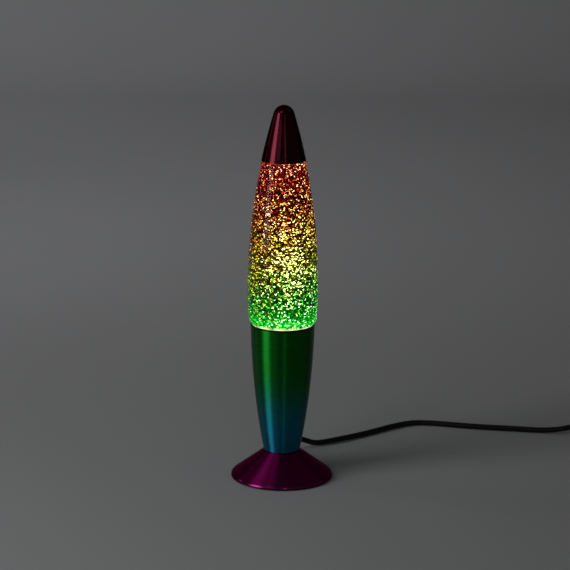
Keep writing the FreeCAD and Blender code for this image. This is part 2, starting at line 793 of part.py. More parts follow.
filament_wire, filament_bend = route_wire([
    Vec(-half_span, 0, wire_foot),
    Vec(-half_span, 0, wire_top),
    Vec(half_span, 0, wire_top),
    Vec(half_span, 0, wire_foot),
], [value("filament_bend")] * 2)
cord_piece("filament", filament_wire, value("filament_radius"), filament_bend)

# Bottle: one wall from the pushed-up base to the lip
PUNT_ROUND = "((punt_radius ^ 2 + punt_height ^ 2) / (2 * punt_height))"
SEAT_RADIUS = "(cup_rim_radius - cup_wall - seat_inset)"
BELLY_LOW = f"({CUP_RIM} + belly_start)"
BELLY_TOP = f"({CAP_RIM} - belly_end)"
SEAT_INSIDE = f"({SEAT_RADIUS} - 0.46 * bottle_wall)"
SEAT_INSIDE_LEVEL = f"({CUP_RIM} + 0.89 * bottle_wall)"
HEEL_TOP = f"({BOTTLE_BASE} + bottle_heel)"
HEEL_START = "(bottle_base_radius - bottle_heel)"
SHOULDER = f"({CAP_RIM} + shoulder_lift)"
turned("bottle", [
    ("0", f"{BOTTLE_BASE} + punt_height", PUNT_ROUND, "right"),
    ("punt_radius", BOTTLE_BASE),
    (HEEL_START, BOTTLE_BASE, "bottle_heel", "left"),
    ("bottle_base_radius", HEEL_TOP),
    (SEAT_RADIUS, CUP_RIM, "belly_low_round", "left"),
    ("belly_low_radius", BELLY_LOW, "belly_bow_radius", "left"),
    ("belly_top_radius", BELLY_TOP, "shoulder_round", "left"),
    ("shoulder_radius", SHOULDER),
    ("neck_radius", f"{CAP_RIM} + neck_start"),
    ("neck_radius", f"{CAP_RIM} + finish_start"),
    ("finish_radius", f"{CAP_RIM} + finish_start + finish_step"),
    ("finish_radius", LIP),
    ("neck_bore", LIP),
    ("neck_bore", f"{CAP_RIM} + neck_start - bottle_wall / 2"),
    ("belly_top_radius - bottle_wall", BELLY_TOP, "belly_bow_radius - bottle_wall", "right"),
    ("belly_low_radius - bottle_wall", BELLY_LOW, "belly_low_round - bottle_wall", "right"),
    (SEAT_INSIDE, SEAT_INSIDE_LEVEL),
    ("bottle_base_radius - bottle_wall", HEEL_TOP, "bottle_heel - bottle_wall", "right"),
    (HEEL_START, f"{BOTTLE_BASE} + bottle_wall"),
    ("punt_radius", f"{BOTTLE_BASE} + bottle_wall", PUNT_ROUND, "left"),
    ("0", f"{BOTTLE_BASE} + punt_height + bottle_wall"),
])

# Liquid: the bottle's hollow less a thin gap, up into the neck
INSET = "(bottle_wall + fill_gap)"
turned("liquid", [
    ("0", f"{BOTTLE_BASE} + punt_height + {INSET}", PUNT_ROUND, "right"),
    ("punt_radius", f"{BOTTLE_BASE} + {INSET}"),
    (HEEL_START, f"{BOTTLE_BASE} + {INSET}", f"bottle_heel - {INSET}", "left"),
    (f"bottle_base_radius - {INSET}", HEEL_TOP),
    (f"{SEAT_INSIDE} - fill_gap", SEAT_INSIDE_LEVEL, f"belly_low_round - {INSET}", "left"),
    (f"belly_low_radius - {INSET}", BELLY_LOW, f"belly_bow_radius - {INSET}", "left"),
    (f"belly_top_radius - {INSET}", BELLY_TOP),
    ("neck_bore - fill_gap", f"{CAP_RIM} + neck_start - bottle_wall / 2"),
    ("neck_bore - fill_gap", f"{CAP_RIM} + fill_level"),
    ("0", f"{CAP_RIM} + fill_level"),
])

# Crown closure with its liner on the bottle's lip
turned("closure_liner", [
    ("0", LIP),
    ("liner_radius", LIP),
    ("liner_radius", f"{LIP} + liner_thickness"),
    ("0", f"{LIP} + liner_thickness"),
])
crown = turned("crown_closure", [
    ("crown_bore", f"{LIP} - crown_skirt"),
    ("crown_flare_radius", f"{LIP} - crown_skirt"),
    ("crown_side_radius", f"{LIP} - crown_side_drop", "crown_corner_radius", "left"),
    ("crown_top_radius", CROWN_TOP),
    ("0", CROWN_TOP),
    ("0", f"{LIP} + liner_thickness"),
    ("liner_radius + crown_wall / 2", f"{LIP} + liner_thickness"),
    ("crown_bore", f"{LIP} - crown_wall / 2"),
])
flute = cut(crown, "crown_flute", "XY_Plane", level=f"{LIP} - crown_skirt", reverse=True,
            depth="crown_skirt - crown_side_drop",
            circles=[("crown_flare_radius", "0", "crown_flute_radius")])
flutes = crown.newObject("PartDesign::PolarPattern", "crown_flutes")
flutes.Originals = [flute]
flutes.Axis = (flute.Profile[0], ["N_Axis"])
flutes.Angle = 360
flutes.Occurrences = CROWN_FLUTES
crown.Tip = flutes
doc.recompute()

# Bullet cap
TIP_ROUND = "((cap_shoulder_radius ^ 2 + cap_shoulder_depth ^ 2) / (2 * cap_shoulder_depth))"
INNER_SHOULDER = "(cap_shoulder_radius - cap_wall)"
INNER_DEPTH = "(cap_shoulder_depth - cap_wall)"
INNER_ROUND = f"(({INNER_SHOULDER} ^ 2 + {INNER_DEPTH} ^ 2) / (2 * {INNER_DEPTH}))"
turned("cap_shell", [
    ("cap_radius - cap_wall", CAP_RIM),
    ("cap_radius", CAP_RIM, "cap_side_radius", "left"),
    ("cap_shoulder_radius", f"{CAP_TIP} - cap_shoulder_depth", TIP_ROUND, "left"),
    ("0", CAP_TIP),
    ("0", f"{CAP_TIP} - cap_wall", INNER_ROUND, "right"),
    (INNER_SHOULDER, f"{CAP_TIP} - cap_shoulder_depth", "cap_side_radius - cap_wall", "right"),
])

# Switch on the cord: two housing halves round a rocker on its axle
SPLIT = "(switch_height / 2)"
NOSE_START = "(switch_length / 2 - switch_nose)"


def mirrored(quarter):
    """A closed outline in X and Y from its corners in the first quarter, nearest X first."""
    right_back = [(x, y) for x, y in quarter]
    left_back = [(f"-{x}", y) for x, y in reversed(quarter)]
    left_front = [(f"-{x}", f"-{y}") for x, y in quarter]
    right_front = [(x, f"-{y}") for x, y in reversed(quarter)]
    return right_back + left_back + left_front + right_front


SWITCH_PLAN = mirrored([
    ("(switch_length / 2)", "(switch_end_width / 2)"),
    (NOSE_START, "(switch_width / 2)"),
])
CAVITY_PLAN = mirrored([("(cavity_length / 2)", "(cavity_width / 2)")])
WINDOW_PLAN = mirrored([("(window_length / 2)", "(window_width / 2)")])
SWITCH_SCREWS = [("-switch_screw_x", "switch_screw_y"), ("switch_screw_x", "-switch_screw_y")]


def flat_outline_edges(level):
    """Chooses the outer edges of a housing half at a level."""
    def chosen(edge):
        return level_edge(edge, level)
    return chosen


switch_bottom = padded("switch_bottom", "XY_Plane", SWITCH_PLAN, SPLIT)
round_edges(switch_bottom, "lower_edges", "switch_edge", flat_outline_edges(0))
cut(switch_bottom, "lower_cavity", "XY_Plane", corners=CAVITY_PLAN, level=SPLIT,
    depth=f"{SPLIT} - switch_wall")
cut(switch_bottom, "screw_ways", "XY_Plane", reverse=True,
    circles=[(x, y, "switch_screw_radius + axle_room") for x, y in SWITCH_SCREWS])
cut(switch_bottom, "head_recesses", "XY_Plane", reverse=True, depth="switch_head_depth",
    circles=[(x, y, "switch_head_radius + axle_room") for x, y in SWITCH_SCREWS])
put(switch_bottom, "switch_x", "switch_y")

switch_top = padded("switch_top", "XY_Plane", SWITCH_PLAN, SPLIT, level=SPLIT)
round_edges(switch_top, "upper_edges", "switch_edge", flat_outline_edges(value("switch_height")))
cut(switch_top, "upper_cavity", "XY_Plane", corners=CAVITY_PLAN, level=SPLIT,
    depth=f"{SPLIT} - switch_wall", reverse=True)
cut(switch_top, "rocker_window", "XY_Plane", corners=WINDOW_PLAN, level=SPLIT, reverse=True)
cut(switch_top, "screw_threads", "XY_Plane", level=SPLIT, reverse=True,
    depth=f"switch_head_depth + switch_screw_length - {SPLIT}",
    circles=[(x, y, "switch_screw_radius + axle_room") for x, y in SWITCH_SCREWS])
put(switch_top, "switch_x", "switch_y")

rocker = padded("switch_rocker", "XZ_Plane", [
    ("-rocker_keel_half", "-rocker_keel"),
    ("rocker_keel_half", "-rocker_keel"),
    ("rocker_side_half", "-rocker_side_drop"),
    ("rocker_half", "rocker_corner_rise"),
    ("0", "rocker_centre_rise"),
    ("-rocker_half", "rocker_corner_rise"),
    ("-rocker_side_half", "-rocker_side_drop"),
], "rocker_width", midplane=True, circles=[("0", "0", "axle_radius + axle_room")])
rocker.Placement.Rotation = FreeCAD.Rotation(Vec(0, 1, 0), -value("rocker_tilt"))
put(rocker, "switch_x", "switch_y", "rocker_axle_height")
keep(cylinder("rocker_axle", "axle_radius", "cavity_width", "switch_x", "switch_y - cavity_width / 2",
              "rocker_axle_height", axis=Vec(0, 1, 0)), "rocker_pin")
tilt_cos = math.cos(math.radians(value("rocker_tilt")))
tilt_sin = math.sin(math.radians(value("rocker_tilt")))
ROCKER_LOW = f"(rocker_axle_height - rocker_side_drop * {tilt_cos:.6f} - rocker_side_half * {tilt_sin:.6f})"
posts = []
for number, side in enumerate("-+"):
    post = doc.addObject("Part::Box", "contact_post_%d" % number)
    post.setExpression("Length", bound("post_width"))
    post.setExpression("Width", bound("post_depth"))
    post.setExpression("Height", bound(f"{ROCKER_LOW} - post_gap - switch_wall"))
    put(post, f"switch_x {side} post_place - post_width / 2", "switch_y - post_depth / 2", "switch_wall")
    posts.append(post)
group("switch_contacts", posts)
group("switch_screws", [
    screw("switch_screw_%d" % number, f"switch_x + {x}", f"switch_y + {y}",
          "switch_head_depth - switch_head_height", "switch_head_radius", "switch_head_height",
          "switch_screw_radius", "switch_screw_length")
    for number, (x, y) in enumerate(SWITCH_SCREWS)
])

# Plug: a lofted body on its flat side, pins towards -X, boot towards the cord
PLUG_MIDDLE = "(plug_thickness / 2)"
COIL_OUTER = f"(coil_inner_radius + coil_step * {COIL_TURNS / 2})"
PLUG_Y = f"(switch_y - 2 * {COIL_OUTER})"
PLUG_STATIONS = [("0", "1"), ("plug_face_length", "1"), ("plug_length", "plug_rear_scale")]
plug_body = new_body("plug_body")
plug_sections = []
for number, (level, scale) in enumerate(PLUG_STATIONS):
    section = new_sketch(plug_body, "plug_section_%d" % number, "YZ_Plane", level)
    draw_outline(section, mirrored([
        (f"(plug_width / 2 * {scale})", f"((plug_thickness - plug_edge) / 4 * {scale})"),
        (f"((plug_width / 2 - plug_bevel) * {scale})", f"({PLUG_MIDDLE} * (1 + {scale}) / 2)"),
    ]))
    plug_sections.append(section)
plug_loft = plug_body.newObject("PartDesign::AdditiveLoft", "plug_loft")
plug_loft.Profile = plug_sections[0]
plug_loft.Sections = plug_sections[1:]
plug_loft.Ruled = True
doc.recompute()
put(plug_body, "plug_x", PLUG_Y, PLUG_MIDDLE)

group("plug_pins", [
    cylinder("plug_pin_%d" % number, "plug_pin_radius", "plug_pin_length", "plug_x",
             f"{PLUG_Y} {side} plug_pin_spacing / 2", PLUG_MIDDLE, axis=Vec(-1, 0, 0))
    for number, side in enumerate("-+")
])

BOOT_START = "(plug_x + plug_length)"
boot_rings = 4
boot_corners = [("0", "0"), ("boot_radius", "0")]
for ring in range(boot_rings):
    for share, groove in ((0.7, "0"), (0.7, "boot_groove"), (1.0, "boot_groove"), (1.0, "0")):
        along = f"boot_length * {(ring + share) / (boot_rings + 1):.4f}"
        outer = f"boot_radius - (boot_radius - boot_tip_radius) * {(ring + share) / (boot_rings + 1):.4f}"
        boot_corners.append((f"{outer} - {groove}", along))
boot_corners += [("boot_tip_radius", "boot_length"), ("0", "boot_length")]
plug_boot = turned("plug_boot", boot_corners)
plug_boot.Placement.Rotation = FreeCAD.Rotation(Vec(0, 0, 1), Vec(1, 0, 0))
put(plug_boot, BOOT_START, PLUG_Y, PLUG_MIDDLE)

# Cord from the bushing over the table to the switch
cord_radius = value("cord_radius")
switch_y = value("switch_y")
LEAD_POINTS = [
    Vec(0, value(BUSHING_END), value("cord_exit_height")),
    Vec(0, 68, value("cord_exit_height")),
    Vec(8.5, 84, 15),
    Vec(23.5, 93.5, 9.5),
    Vec(36.5, 98.5, 3),
    Vec(59.5, 110, 4),
    Vec(80, 127, 3),
    Vec(97.5, 140.5, 3),
    Vec(128, 168, 3),
    Vec(154, 182, 3),
    Vec(209.5, 166.5, 3),
    Vec(254, 159.5, 3),
    Vec(302, switch_y, 3),
    Vec(328, switch_y, value(SPLIT)),
    Vec(value("switch_x - switch_length / 2"), switch_y, value(SPLIT)),
]
lead_wire, lead_smallest = route_wire(LEAD_POINTS)
cord_length = cord_piece("cord_lead", lead_wire, cord_radius, lead_smallest)

# Coil: clockwise, in on the table and out again on top of itself
coil_outer = value(COIL_OUTER)
coil_centre = Vec(value("coil_x"), switch_y - coil_outer, 0)
half_turn_count = COIL_TURNS / 2
climb = value("coil_step")


def coil_point(turns):
    """Place and direction of the coil after a number of turns from its start."""
    from_middle = turns - half_turn_count
    radius = value("coil_inner_radius") + climb * abs(from_middle)
    angle = math.pi / 2 - 2 * math.pi * turns
    share = min(1, max(0, from_middle * 2 + 0.5))
    level = cord_radius + climb * share * share * (3 - 2 * share)
    place = coil_centre + Vec(radius * math.cos(angle), radius * math.sin(angle), level)
    at_rest = from_middle == 0 or turns in (0, COIL_TURNS)
    outward = 0 if at_rest else math.copysign(climb / (2 * math.pi), from_middle)
    slope = 6 * share * (1 - share) * 2 * climb / (2 * math.pi)
    direction = Vec(math.sin(angle) * radius + outward * math.cos(angle),
                    -math.cos(angle) * radius + outward * math.sin(angle), slope)
    return place, direction.normalize()


def arc_from(start, direction, end):
    chord = end - start
    along = chord.Length / 2
    unit = chord.normalize()
    aside = direction - unit * direction.dot(unit)
    bend = direction.getAngle(unit)
    middle = (start + end) / 2
    if bend > 1e-6:
        middle = middle + aside.normalize() * along * math.tan(bend / 2)
    return Part.Arc(start, middle, end).toShape()


def biarc(start, start_direction, end, end_direction):
    """Two arcs that leave and arrive in the given directions and share one at their joint."""
    span = end - start
    both = start_direction + end_direction
    spread = 2 * (1 - start_direction.dot(end_direction))
    reach = (-span.dot(both) + math.sqrt(span.dot(both) ** 2 + spread * span.dot(span))) / spread
    joint = (start + end) / 2 + (start_direction - end_direction) * (reach / 2)
    joint_direction = (end - end_direction * reach - (start + start_direction * reach)).normalize()
    return [arc_from(start, start_direction, joint), arc_from(joint, joint_direction, end)]


quarters = round(COIL_TURNS * 4)
stations = [coil_point(quarter / 4) for quarter in range(quarters + 1)]
coil_entry = stations[0][0] - stations[0][1] * 2 * cord_radius
coil_exit = stations[-1][0] + stations[-1][1] * 2 * cord_radius
coil_edges = [Part.LineSegment(coil_entry, stations[0][0]).toShape()]
for before, after in zip(stations, stations[1:]):
    coil_edges += biarc(before[0], before[1], after[0], after[1])
coil_edges.append(Part.LineSegment(stations[-1][0], coil_exit).toShape())
coil_wire = Part.Wire(coil_edges)
cord_length += cord_piece("cord_coil", coil_wire, cord_radius, value("coil_inner_radius"))
coil_samples = [point for edge in coil_edges for point in edge.discretize(13)[:-1]]
step_length = coil_wire.Length / len(coil_samples)
apart = math.ceil(math.pi * value("coil_inner_radius") / step_length)
least_gap = min(
    (coil_samples[first] - coil_samples[second]).Length - 2 * cord_radius
    for first in range(len(coil_samples))
    for second in range(first + apart, len(coil_samples))
)
coil_width = 2 * (coil_outer + cord_radius)
print("cord_coil: least gap to itself %.2f, outside width %.1f" % (least_gap, coil_width))

# Short stretches from the switch to the coil and from the coil to the plug, level at both ends
STRETCH_START = 0.28


def stretch(start, end):
    """A wire that leaves and arrives along X, with its rise or fall between."""
    level_run = (end.x - start.x) * STRETCH_START
    return route_wire([
        start,
        Vec(start.x + level_run, start.y, start.z),
        Vec(end.x - level_run, end.y, end.z),
        end,
    ])


switch_far_end = Vec(value("switch_x + switch_length / 2"), switch_y, value(SPLIT))
link_wire, link_smallest = stretch(switch_far_end, coil_entry)
cord_length += cord_piece("cord_link", link_wire, cord_radius, link_smallest)
boot_end = Vec(value(f"{BOOT_START} + boot_length"), value(PLUG_Y), value(PLUG_MIDDLE))
tail_wire, tail_smallest = stretch(coil_exit, boot_end)
cord_length += cord_piece("cord_tail", tail_wire, cord_radius, tail_smallest)
print("cord from bushing to plug, with the switch: %.0f" % (cord_length + value("switch_length")))

# Checks and files
doc.recompute()
for thing in doc.Objects:
    if "Invalid" in thing.State or "Error" in thing.State:
        raise ValueError("%s failed: %s" % (thing.Label, thing.State))
for solid in kept:
    if solid.Shape.isNull() or not solid.Shape.isValid() or not solid.Shape.Solids:
        raise ValueError(solid.Label + " has no valid solid")
for solid in kept:
    solid.Shape.exportStep("parts/%s.step" % solid.Label)
    print("%-18s %d solids, %.0f mm3" % (solid.Label, len(solid.Shape.Solids), solid.Shape.Volume))
print("%d nodes" % len(kept))
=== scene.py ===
import math
import random

import bpy
from mathutils import Matrix, Vector


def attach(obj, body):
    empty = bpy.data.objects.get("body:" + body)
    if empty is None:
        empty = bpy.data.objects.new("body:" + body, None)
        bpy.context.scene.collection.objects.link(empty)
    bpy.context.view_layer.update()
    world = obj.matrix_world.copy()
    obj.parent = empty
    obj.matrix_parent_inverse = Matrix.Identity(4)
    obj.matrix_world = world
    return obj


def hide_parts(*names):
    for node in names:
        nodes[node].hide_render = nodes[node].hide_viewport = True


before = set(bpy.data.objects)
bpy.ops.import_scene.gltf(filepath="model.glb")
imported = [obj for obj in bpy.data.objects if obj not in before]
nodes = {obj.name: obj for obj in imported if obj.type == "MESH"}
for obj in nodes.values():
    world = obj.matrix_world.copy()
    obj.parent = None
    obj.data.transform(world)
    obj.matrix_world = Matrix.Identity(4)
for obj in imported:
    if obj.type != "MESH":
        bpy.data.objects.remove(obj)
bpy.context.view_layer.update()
MM = 0.001
bpy.ops.object.select_all(action="DESELECT")


# Camera, at the photograph's angle

LENS_MM = 148.55
SENSOR_MM = 36
CAMERA_TILT = 76
CAMERA_ROLL = 0.4
CAMERA_PLACE = (0.0022, -2.361, 0.7952)


def place_camera():
    lens = bpy.data.cameras.new("camera")
    lens.lens = LENS_MM
    lens.sensor_width = SENSOR_MM
    camera = bpy.data.objects.new("camera", lens)
    bpy.context.scene.collection.objects.link(camera)
    tilt = Matrix.Rotation(math.radians(CAMERA_TILT), 4, "X")
    roll = Matrix.Rotation(math.radians(CAMERA_ROLL), 4, "Z")
    camera.matrix_world = Matrix.Translation(CAMERA_PLACE) @ tilt @ roll
    bpy.context.scene.camera = camera


place_camera()
bpy.context.scene.view_settings.view_transform = "Standard"


# Cords: routes in mm

CORD_RADIUS = 3.0
SWITCH_Y = 151.0
COIL_X = 455.0
COIL_INNER = 26.0
COIL_STEP = 6.6
COIL_TURNS = 4.5
COIL_OUTER = COIL_INNER + COIL_STEP * COIL_TURNS / 2
COIL_LIFT = 0.5
CROSSING_TURNS = 0.5
PLUG_Y = SWITCH_Y - 2 * COIL_OUTER
POINTS_IN_TURN = 16
# round its centre, a quadratic spline runs at this share of its points' radius
SPLINE_SHARE = (3 + math.cos(2 * math.pi / POINTS_IN_TURN)) / 4

LEAD_ROUTE = [
    (0, 52, 14), (0, 68, 14), (8.5, 84, 15), (23.5, 93.5, 9.5), (36.5, 98.5, 3),
    (59.5, 110, 4), (80, 127, 3), (97.5, 140.5, 3), (128, 168, 3), (154, 182, 3),
    (209.5, 166.5, 3), (254, 159.5, 3), (302, 151, 3), (328, 151, 9), (345, 151, 9),
]
SWITCH_TO_COIL = [(405, SWITCH_Y, 9), (417.3, SWITCH_Y, 9), (436.7, SWITCH_Y, 3.5), (447, SWITCH_Y, 3.5)]
COIL_TO_PLUG = [(449, PLUG_Y, 10.1), (438.4, PLUG_Y, 9.8), (421.6, PLUG_Y, 6.85), (411, PLUG_Y, 6.85)]


def coil_place(turns):
    """Clockwise from the switch, inwards on the table and, after a crossing, outwards on top of that."""
    from_middle = turns - COIL_TURNS / 2
    radius = (COIL_INNER + COIL_STEP * abs(from_middle)) / SPLINE_SHARE
    angle = math.pi / 2 - 2 * math.pi * turns
    share = min(1, max(0, from_middle / CROSSING_TURNS + 0.5))
    level = CORD_RADIUS + COIL_LIFT + COIL_STEP * share * share * (3 - 2 * share)
    return (COIL_X + radius * math.cos(angle), SWITCH_Y - COIL_OUTER + radius * math.sin(angle), level)


def coiled_route():
    """From the switch through the coil to the plug."""
    steps = round(COIL_TURNS * POINTS_IN_TURN)
    turns = [coil_place(step / POINTS_IN_TURN) for step in range(steps + 1)]
    return SWITCH_TO_COIL + turns + COIL_TO_PLUG


def lay_cord(name, route):
    curve = bpy.data.curves.new(name, "CURVE")
    curve.dimensions = "3D"
    curve.bevel_depth = CORD_RADIUS * MM
    curve.bevel_resolution = 5
    curve.resolution_u = 8
    curve.use_fill_caps = True
    spline = curve.splines.new("NURBS")
    spline.points.add(len(route) - 1)
    for point, (x, y, z) in zip(spline.points, route):
        point.co = (x * MM, y * MM, z * MM, 1)
    spline.order_u = 3
    spline.use_endpoint_u = True
    cord = bpy.data.objects.new(name, curve)
    bpy.context.scene.collection.objects.link(cord)
    return cord


lamp_cord = lay_cord("lamp_cord", LEAD_ROUTE)
coiled_cord = lay_cord("coiled_cord", coiled_route())


# Shader nodes

def add_node(tree, kind, inputs=None, **settings):
    """A node with its settings, and its inputs set to a number, a colour or another node's socket."""
    made = tree.nodes.new("ShaderNode" + kind)
    for name, setting in settings.items():
        setattr(made, name, setting)
    for socket, given in (inputs or {}).items():
        if isinstance(given, bpy.types.NodeSocket):
            tree.links.new(given, made.inputs[socket])
        else:
            made.inputs[socket].default_value = given
    return made


def sums(tree, operation, first, second=0.0, third=0.0):
    made = add_node(tree, "Math", operation=operation)
    for number, given in enumerate((first, second, third)):
        if isinstance(given, bpy.types.NodeSocket):
            tree.links.new(given, made.inputs[number])
        else:
            made.inputs[number].default_value = given
    return made.outputs[0]


def ramp(tree, position, stops):
    made = add_node(tree, "ValToRGB", {"Fac": position})
    elements = made.color_ramp.elements
    while len(elements) < len(stops):
        elements.new(0.5)
    for element, (place, colour) in zip(elements, stops):
        element.position = place
        element.color = (*colour, 1) if len(colour) == 3 else colour
    return made.outputs["Color"]


def mixed(tree, share, first, second, blend="MIX"):
    made = add_node(tree, "Mix", data_type="RGBA", blend_type=blend)
    for socket, given in zip((made.inputs[0], made.inputs[6], made.inputs[7]), (share, first, second)):
        if isinstance(given, bpy.types.NodeSocket):
            tree.links.new(given, socket)
        elif isinstance(given, (int, float)):
            socket.default_value = given
        else:
            socket.default_value = (*given, 1)
    return made.outputs[2]


def spread(tree, value, low, high):
    """A value from 0 to 1 spread between low and high."""
    return add_node(tree, "MapRange", {"Value": value, "To Min": low, "To Max": high}).outputs["Result"]


def srgb(red, green, blue):
    """A colour as read on a screen, 0 to 255, as the linear values that a shader takes."""
    def linear(level):
        share = level / 255
        return share / 12.92 if share <= 0.04045 else ((share + 0.055) / 1.055) ** 2.4
    return tuple(linear(level) for level in (red, green, blue))


def new_group(name, inputs, outputs):
    group = bpy.data.node_groups.new(name, "ShaderNodeTree")
    for socket_name, start in inputs.items():
        socket = group.interface.new_socket(socket_name, in_out="INPUT", socket_type="NodeSocketFloat")
        socket.default_value = start
    for socket_name in outputs:
        group.interface.new_socket(socket_name, in_out="OUTPUT", socket_type="NodeSocketFloat")
    given = group.nodes.new("NodeGroupInput")
    taken = group.nodes.new("NodeGroupOutput")
    return group, given, taken


def object_place(tree):
    return add_node(tree, "TexCoord").outputs["Object"]


def fine_grain_group():
    """Moulded or cast grain: small bumps and slow patches of gloss."""
    group, given, taken = new_group("fine_grain", {"Size": 0.5, "Patch": 12.0}, ("Grain", "Patches"))
    place = object_place(group)
    fine = sums(group, "DIVIDE", 1000, given.outputs["Size"])
    wide = sums(group, "DIVIDE", 1000, given.outputs["Patch"])
    grain = add_node(group, "TexNoise", {"Vector": place, "Scale": fine, "Detail": 3.0})
    patches = add_node(group, "TexNoise", {"Vector": place, "Scale": wide, "Detail": 4.0, "Roughness": 0.6})
    group.links.new(grain.outputs["Fac"], taken.inputs["Grain"])
    group.links.new(patches.outputs["Fac"], taken.inputs["Patches"])
    return group


def spun_lines_group():
    """Lines left by spinning, that go round the Z axis and vary in depth on their way."""
    radius_share = 0.8
    band_share = 0.07
    group, given, taken = new_group("spun_lines", {"Lines_per_mm": 3.0, "Wander": 6.0}, ("Lines", "Bands"))
    place = object_place(group)
    parts = add_node(group, "SeparateXYZ", {"Vector": place})
    flat = add_node(group, "CombineXYZ", {"X": parts.outputs["X"], "Y": parts.outputs["Y"]})
    radius = add_node(group, "VectorMath", {0: flat.outputs["Vector"]}, operation="LENGTH").outputs["Value"]
    along = sums(group, "MULTIPLY_ADD", radius, radius_share, parts.outputs["Z"])
    row = sums(group, "MULTIPLY", along, sums(group, "MULTIPLY", given.outputs["Lines_per_mm"], 1000))
    round_about = add_node(group, "VectorMath", {0: flat.outputs["Vector"]}, operation="NORMALIZE")
    slow = add_node(group, "VectorMath", {0: round_about.outputs["Vector"], "Scale": given.outputs["Wander"]},
                    operation="SCALE")
    sides = add_node(group, "SeparateXYZ", {"Vector": slow.outputs["Vector"]})
    fine = add_node(group, "CombineXYZ", {"X": sides.outputs["X"], "Y": sides.outputs["Y"], "Z": row})
    broad = add_node(group, "CombineXYZ", {"X": sides.outputs["X"], "Y": sides.outputs["Y"],
                                           "Z": sums(group, "MULTIPLY", row, band_share)})
    lines = add_node(group, "TexNoise", {"Vector": fine.outputs["Vector"], "Scale": 1.0, "Detail": 2.0})
    bands = add_node(group, "TexNoise", {"Vector": broad.outputs["Vector"], "Scale": 1.0, "Detail": 1.0})
    group.links.new(lines.outputs["Fac"], taken.inputs["Lines"])
    group.links.new(bands.outputs["Fac"], taken.inputs["Bands"])
    return group


def rubbed_edge_group():
    """Mask of a rubbed edge at one level, ragged at its border."""
    raggedness = 1.6
    threshold = 1.25
    group, given, taken = new_group("rubbed_edge", {"Level_mm": 0.0, "Reach_mm": 1.0}, ("Rubbed",))
    place = object_place(group)
    parts = add_node(group, "SeparateXYZ", {"Vector": place})
    height = sums(group, "MULTIPLY", parts.outputs["Z"], 1000)
    away = sums(group, "ABSOLUTE", sums(group, "SUBTRACT", height, given.outputs["Level_mm"]))
    near = sums(group, "SUBTRACT", 1, sums(group, "DIVIDE", away, given.outputs["Reach_mm"]))
    ragged = add_node(group, "TexNoise", {"Vector": place, "Scale": 420.0, "Detail": 5.0, "Roughness": 0.7})
    lowered = sums(group, "SUBTRACT", near, threshold)
    both = sums(group, "MULTIPLY_ADD", ragged.outputs["Fac"], raggedness, lowered)
    mask = add_node(group, "Clamp", {"Value": both})
    group.links.new(mask.outputs["Result"], taken.inputs["Rubbed"])
    return group


def settled_dust_group():
    """Mask of fine dust, more on faces that look up."""
    group, given, taken = new_group("settled_dust", {"Amount": 0.2, "Speck_mm": 0.6}, ("Dust",))
    place = object_place(group)
    facing = add_node(group, "SeparateXYZ", {"Vector": add_node(group, "NewGeometry").outputs["Normal"]})
    upward = add_node(group, "MapRange", {"Value": facing.outputs["Z"], "From Min": -0.2, "From Max": 1.0})
    fine = sums(group, "DIVIDE", 1000, given.outputs["Speck_mm"])
    specks = add_node(group, "TexNoise", {"Vector": place, "Scale": fine, "Detail": 2.0})
    drifts = add_node(group, "TexNoise", {"Vector": place, "Scale": 45.0, "Detail": 3.0})
    sharp = add_node(group, "MapRange", {"Value": specks.outputs["Fac"], "From Min": 0.55, "From Max": 0.75})
    cloud = sums(group, "MULTIPLY", sharp.outputs["Result"], drifts.outputs["Fac"])
    settled = sums(group, "MULTIPLY", cloud, upward.outputs["Result"])
    mask = sums(group, "MULTIPLY", settled, given.outputs["Amount"])
    group.links.new(mask, taken.inputs["Dust"])
    return group


def screw_thread_group():
    """Height of a rolled thread that climbs round the Z axis."""
    settings = {"Pitch_mm": 2.8, "Start_mm": 0.0, "End_mm": 20.0}
    group, given, taken = new_group("screw_thread", settings, ("Height",))
    parts = add_node(group, "SeparateXYZ", {"Vector": object_place(group)})
    height = sums(group, "MULTIPLY", parts.outputs["Z"], 1000)
    turn = sums(group, "ARCTAN2", parts.outputs["Y"], parts.outputs["X"])
    climb = sums(group, "DIVIDE", height, given.outputs["Pitch_mm"])
    phase = sums(group, "MULTIPLY_ADD", climb, 2 * math.pi, sums(group, "MULTIPLY", turn, -1))
    wave = sums(group, "MULTIPLY_ADD", sums(group, "SINE", phase), 0.5, 0.5)
    above = sums(group, "GREATER_THAN", height, given.outputs["Start_mm"])
    below = sums(group, "LESS_THAN", height, given.outputs["End_mm"])
    threaded = sums(group, "MULTIPLY", above, below)
    group.links.new(sums(group, "MULTIPLY", wave, threaded), taken.inputs["Height"])
    return group


GROUPS = {
    "fine_grain": fine_grain_group(),
    "spun_lines": spun_lines_group(),
    "rubbed_edge": rubbed_edge_group(),
    "settled_dust": settled_dust_group(),
    "screw_thread": screw_thread_group(),
}


def effect(tree, name, **inputs):
    made = tree.nodes.new("ShaderNodeGroup")
    made.node_tree = GROUPS[name]
    for socket, given in inputs.items():
        made.inputs[socket].default_value = given
    return made.outputs


def new_finish(name, **constants):
    """A material's tree and its surface shader, with the shader's constants set by socket name."""
    material = bpy.data.materials.new(name)
    material.use_nodes = True
    tree = material.node_tree
    shader = tree.nodes["Principled BSDF"]
    for socket, given in constants.items():
        socket = socket.replace("_", " ")
        shader.inputs[socket].default_value = (*given, 1) if isinstance(given, tuple) else given
    return material, tree, shader


def feed(tree, socket, value):
    tree.links.new(value, socket)


def bump(tree, shader, height, distance_mm, strength=1.0):
    made = add_node(tree, "Bump", {"Height": height, "Distance": distance_mm * MM, "Strength": strength})
    tree.links.new(made.outputs["Normal"], shader.inputs["Normal"])


